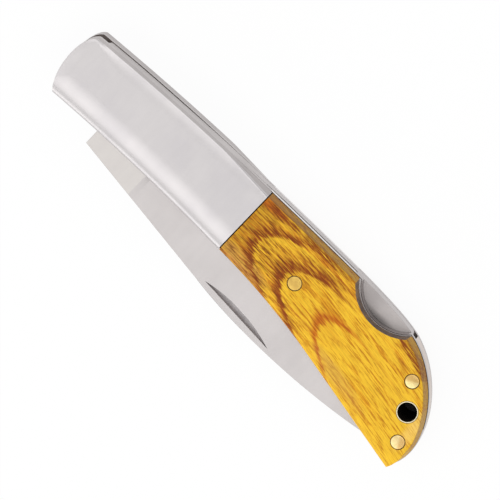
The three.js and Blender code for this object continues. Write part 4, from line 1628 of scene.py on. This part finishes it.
    def build(self) -> None:
        """Builds the blade."""
        low, high = self.layers.middle - self.half, self.layers.middle + self.half
        blade = plate("blade_ground", self._tang_loop(), low, high, self.edge)
        shape(blade, self._grind(), Cut.JOIN)
        PIVOT.drill(blade, low, high, TURNING, 0.05)
        shape(blade, self._nick_tool(), Cut.AWAY)
        dress(blade, BLADE_SATIN)
        plunge_x = self.ricasso_end_x + 0.05
        refinish(blade, RICASSO_SATIN,
                 lambda centre, normal: centre.x < plunge_x and abs(normal.z) > 0.9)
        # Painted shade on the nail nick's floor.
        refinish(blade, NICK_FLOOR_SHADE, self._in_nick)
        complete(blade, BLADE_BODY, "blade")


@dataclass
class LockWork:
    """The lock bar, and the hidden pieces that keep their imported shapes."""

    layers: Layers
    outline: HandleOutline
    hook_front_x: float = -4.8
    hook_rear_x: float = -1.6
    hook_y: float = 5.304
    bridge_y: float = 6.49
    neck_start_x: float = 5.4
    neck_end_x: float = 9.4
    low_y: float = 5.19
    spring_room: float = 0.3
    lobe_radius: float = 3.3
    lobe_flare: float = 8.0
    end_gap: float = 0.7
    end_round: float = 1.0
    end_slant: float = 0.17
    sunk: Table = ((-4.8, 14.0, 22.0, 32.0), (0.12, 0.11, 0.06, 0.0))
    edge: float = 0.03
    seam: float = 0.12
    seam_width: Table = ((33.0, 35.0, 39.0, 41.0, 60.0, 64.0), (0.0, 0.3, 0.7, 1.0, 1.0, 0.3))
    dark_strip: float = 0.45
    strip_depth: float = 0.8
    strip_from_x: float = 36.0
    seam_shade_from_x: float = 33.0
    seam_shade_to_x: float = 61.0
    slanted_end: float = 0.2
    top_steps: int = 90

    def _bar_loop(self) -> Points:
        """Gives the lock bar's outline, anticlockwise.

        Returns:
            The outline's points.
        """
        pin_x, pin_y = LOCK_PIN.axis
        left, right, low = pin_x - self.lobe_radius, pin_x + self.lobe_radius, self.low_y
        over_spring = low + self.spring_room
        end_x = self.outline.spacer_x - self.end_gap
        end_y = float(self.outline.spine_at(end_x))
        shoulder_x = end_x - self.end_round
        shoulder = (shoulder_x, float(self.outline.spine_at(shoulder_x)))
        hook = [(self.hook_front_x, self.hook_y), (self.hook_rear_x, self.hook_y),
                (self.hook_rear_x, self.bridge_y)]
        neck = bezier([(self.neck_start_x, self.bridge_y), (self.neck_end_x - 1.5, self.bridge_y),
                       (self.neck_end_x, low)], 10)
        front = bezier([(left - self.lobe_flare, low), (left, low), (left, pin_y)], 16)
        lobe = arc((pin_x, pin_y), self.lobe_radius, math.pi, math.tau, 32)
        rear_end = (right + self.lobe_flare / 2, over_spring)
        rear = bezier([(right, pin_y), (right, low), rear_end], 16)
        tail = bezier([(end_x, end_y - self.end_round), (end_x, end_y), shoulder], 10)
        top_x = np.linspace(shoulder_x, self.hook_front_x, self.top_steps)
        top_y = self.outline.spine_at(top_x) - np.interp(top_x, *self.sunk)
        return closed(np.array(hook), neck, front, lobe, rear, np.array([(end_x, over_spring)]),
                      tail, np.column_stack([top_x, top_y]))

    def _bar(self) -> None:
        """Makes the lock bar, with a wider broken edge along the front liner."""
        low, high = (float(corner[2]) for corner in box_mm("lock_bar"))
        loop = self._bar_loop()
        x, y = loop.T
        wide = np.where(y > self.outline.spine_at(x) - 0.3, np.interp(x, *self.seam_width), 0.0)
        upper = np.maximum(self.edge, wide * self.seam)
        strip = np.maximum(0.02, wide * self.dark_strip)
        bar = layered("lock_bar_ground", loop, [
            (self.edge, low),
            (0.0, low + self.edge),
            (0.0, high - upper - strip),
            (0.0, high - upper),
            (upper, high),
        ])
        for vertex in bar.data.vertices:
            if vertex.co.x < (self.hook_front_x + self.slanted_end) * MM:
                vertex.co.x -= (vertex.co.z - self.layers.middle * MM) * self.end_slant
        LOCK_PIN.drill(bar, low, high, TURNING, 0.05)
        dress(bar, BAR_GROUND)
        # Painted shade on the bar's front and rear faces.
        refinish(bar, BAR_SIDE_SHADE, lambda _, normal: abs(normal.z) > FLAT)
        # Painted shade on the bar's upper broken edge, and on a strip of its spine face along the
        # front liner.
        strip_z = high - self.strip_depth
        refinish(bar, SEAM_OIL_AND_SHADE, lambda centre, normal: (
            normal.y > STEEP and self.seam_shade_from_x < centre.x < self.seam_shade_to_x
            and (STEEP < normal.z < FLAT or (
                abs(normal.z) < STEEP and centre.z > strip_z and centre.x > self.strip_from_x))))
        complete(bar, LOCK_BODY, "lock_bar")

    def _kept(self) -> None:
        """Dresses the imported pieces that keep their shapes."""
        kept: dict[str, Finish] = {"leaf_spring": SPRING_GREY, "pivot_pin": HIDDEN_STEEL}
        for side in Side:
            kept[f"{side.value}_pivot_washer"] = WASHER_BRONZE
            for number in (1, 2):
                kept[f"{side.value}_bolster_rivet_{number}"] = HIDDEN_STEEL
        for node, finish in kept.items():
            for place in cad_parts[node].material_slots:
                place.material = finish.material()
            log.info("%s: packed shape with %s", node, finish.name)

    def build(self) -> None:
        """Builds the lock bar and dresses the hidden pieces."""
        self._bar()
        self._kept()


@dataclass
class Studio:
    """The floor, the lamps and the camera."""

    target: Corner = (42.75, -1.9, 4.9)
    tilt: float = math.atan2(0.25, 0.968)
    roll: float = math.radians(43.8)
    distance: float = 1000.0
    pixels: float = 500.0
    pixels_per_mm: float = 5.12
    sensor_width: float = 36.0
    lamp_distance: float = 1.6
    lamp_length: float = 2.88
    sky: float = 0.71
    floor_half: float = 3000.0
    floor_drop: float = 0.02
    floor_white: float = 0.93
    bore_shade: Point = (4.0, 7.0)
    bore_unlit: Point = (7.0, 10.0)

    def _camera(self) -> None:
        """Sets the camera where the photograph was taken."""
        toward = Vector((0, math.sin(self.tilt), math.cos(self.tilt)))
        spine_way = Vector((0, math.cos(self.tilt), -math.sin(self.tilt)))
        right = Vector((1, 0, 0)) * math.cos(self.roll) + spine_way * math.sin(self.roll)
        camera = bpy.data.cameras.new("camera")
        camera.sensor_width = self.sensor_width
        camera.lens = self.sensor_width * self.distance * self.pixels_per_mm / self.pixels
        camera.clip_end = 20.0
        holder = placed("camera", camera)
        place = Vector(self.target) * MM + toward * self.distance * MM
        facing = Matrix((right, toward.cross(right), toward)).transposed().to_4x4()
        holder.matrix_world = Matrix.Translation(place) @ facing
        bpy.context.scene.camera = holder

    def _floor(self) -> None:
        """Lays the pale floor, with painted shade right under the lanyard tube's bore."""
        half, height = self.floor_half, -self.floor_drop
        corners = np.array([(-half, -half), (half, -half), (half, half), (-half, half)])
        floor = mesh_piece("floor", level(corners, height), [(0, 1, 2, 3)])
        graph = Graph(bpy.data.materials.new("pale_floor"))
        where = graph.place()
        grain = graph.noise(where, 0.4)
        across, up = (part - middle for part, middle in zip(where, LANYARD_TUBE.axis))
        from_bore = across * across + up * up
        # Painted shade: the floor's colour darkens right under the bore.
        pale = 0.98 - (1 - from_bore.between(*self.bore_shade)) * 0.9
        matt = graph.node("ShaderNodeBsdfPrincipled", {}, {
            "Base Color": graph.vector(pale, pale, pale),
            "Roughness": (0.85 + grain * 0.1).clamped(),
            "Specular IOR Level": 0.0,
        })
        white = graph.node("ShaderNodeEmission", {}, {"Color": (1.0, 1.0, 1.0, 1.0),
                                                      "Strength": 1.0})
        rays = graph.node("ShaderNodeLightPath", {}, {}).outputs
        seen = sum(Value(graph, rays[f"Is {kind} Ray"])
                   for kind in ("Camera", "Glossy", "Transmission")).clamped()
        lit = seen * from_bore.between(*self.bore_unlit) * self.floor_white
        both = graph.node("ShaderNodeMixShader", {}, {0: lit, 1: matt.outputs[0],
                                                      2: white.outputs[0]})
        graph.node("ShaderNodeOutputMaterial", {}, {"Surface": both.outputs[0]})
        floor.data.materials.append(graph.owner)

    def _lamp(self, name: str, lean: float, spread: float, brightness: float) -> None:
        """Hangs a soft lamp, long along the knife, that faces it.

        Args:
            name: The lamp's name.
            lean: How far from straight above it hangs, in degrees towards the spine's side.
            spread: Half of the angle that it takes up across the knife, in degrees.
            brightness: How bright its face is, where 1 is white.
        """
        lamp = bpy.data.lights.new(name, "AREA")
        lamp.shape = "RECTANGLE"
        lamp.size = self.lamp_length
        lamp.size_y = 2 * self.lamp_distance * math.tan(math.radians(spread))
        lamp.energy = math.pi * lamp.size * lamp.size_y * brightness
        tilt = Matrix.Rotation(-math.radians(lean), 4, "X")
        lift = Matrix.Translation((0, 0, self.lamp_distance))
        placed(name, lamp).matrix_world = Matrix.Translation(Vector(self.target) * MM) @ tilt @ lift

    def _world(self) -> None:
        """Lights the scene softly from all round."""
        graph = Graph(bpy.data.worlds.new("studio"))
        white = {"Color": (1.0, 1.0, 1.0, 1.0), "Strength": self.sky}
        soft = graph.node("ShaderNodeBackground", {}, white)
        graph.node("ShaderNodeOutputWorld", {}, {"Surface": soft.outputs[0]})
        bpy.context.scene.world = graph.owner

    def build(self) -> None:
        """Sets up the whole studio."""
        self._camera()
        self._floor()
        self._lamp("belly_softbox", -31.0, 13.0, 0.92)
        self._lamp("overhead_softbox", 6.0, 9.0, 1.0)
        self._lamp("low_softbox", -73.0, 11.0, 1.1)
        self._world()
        bpy.context.scene.view_settings.view_transform = "Standard"


def main() -> None:
    """Builds the studio and every piece in order."""
    logging.basicConfig(level=logging.INFO, format="%(name)s: %(message)s")
    layers = Layers()
    outline = HandleOutline()
    Studio().build()
    Handle(layers, outline, ThumbCut()).build()
    Blade(layers, outline).build()
    LockWork(layers, outline).build()


if __name__ == "__main__":
    main()
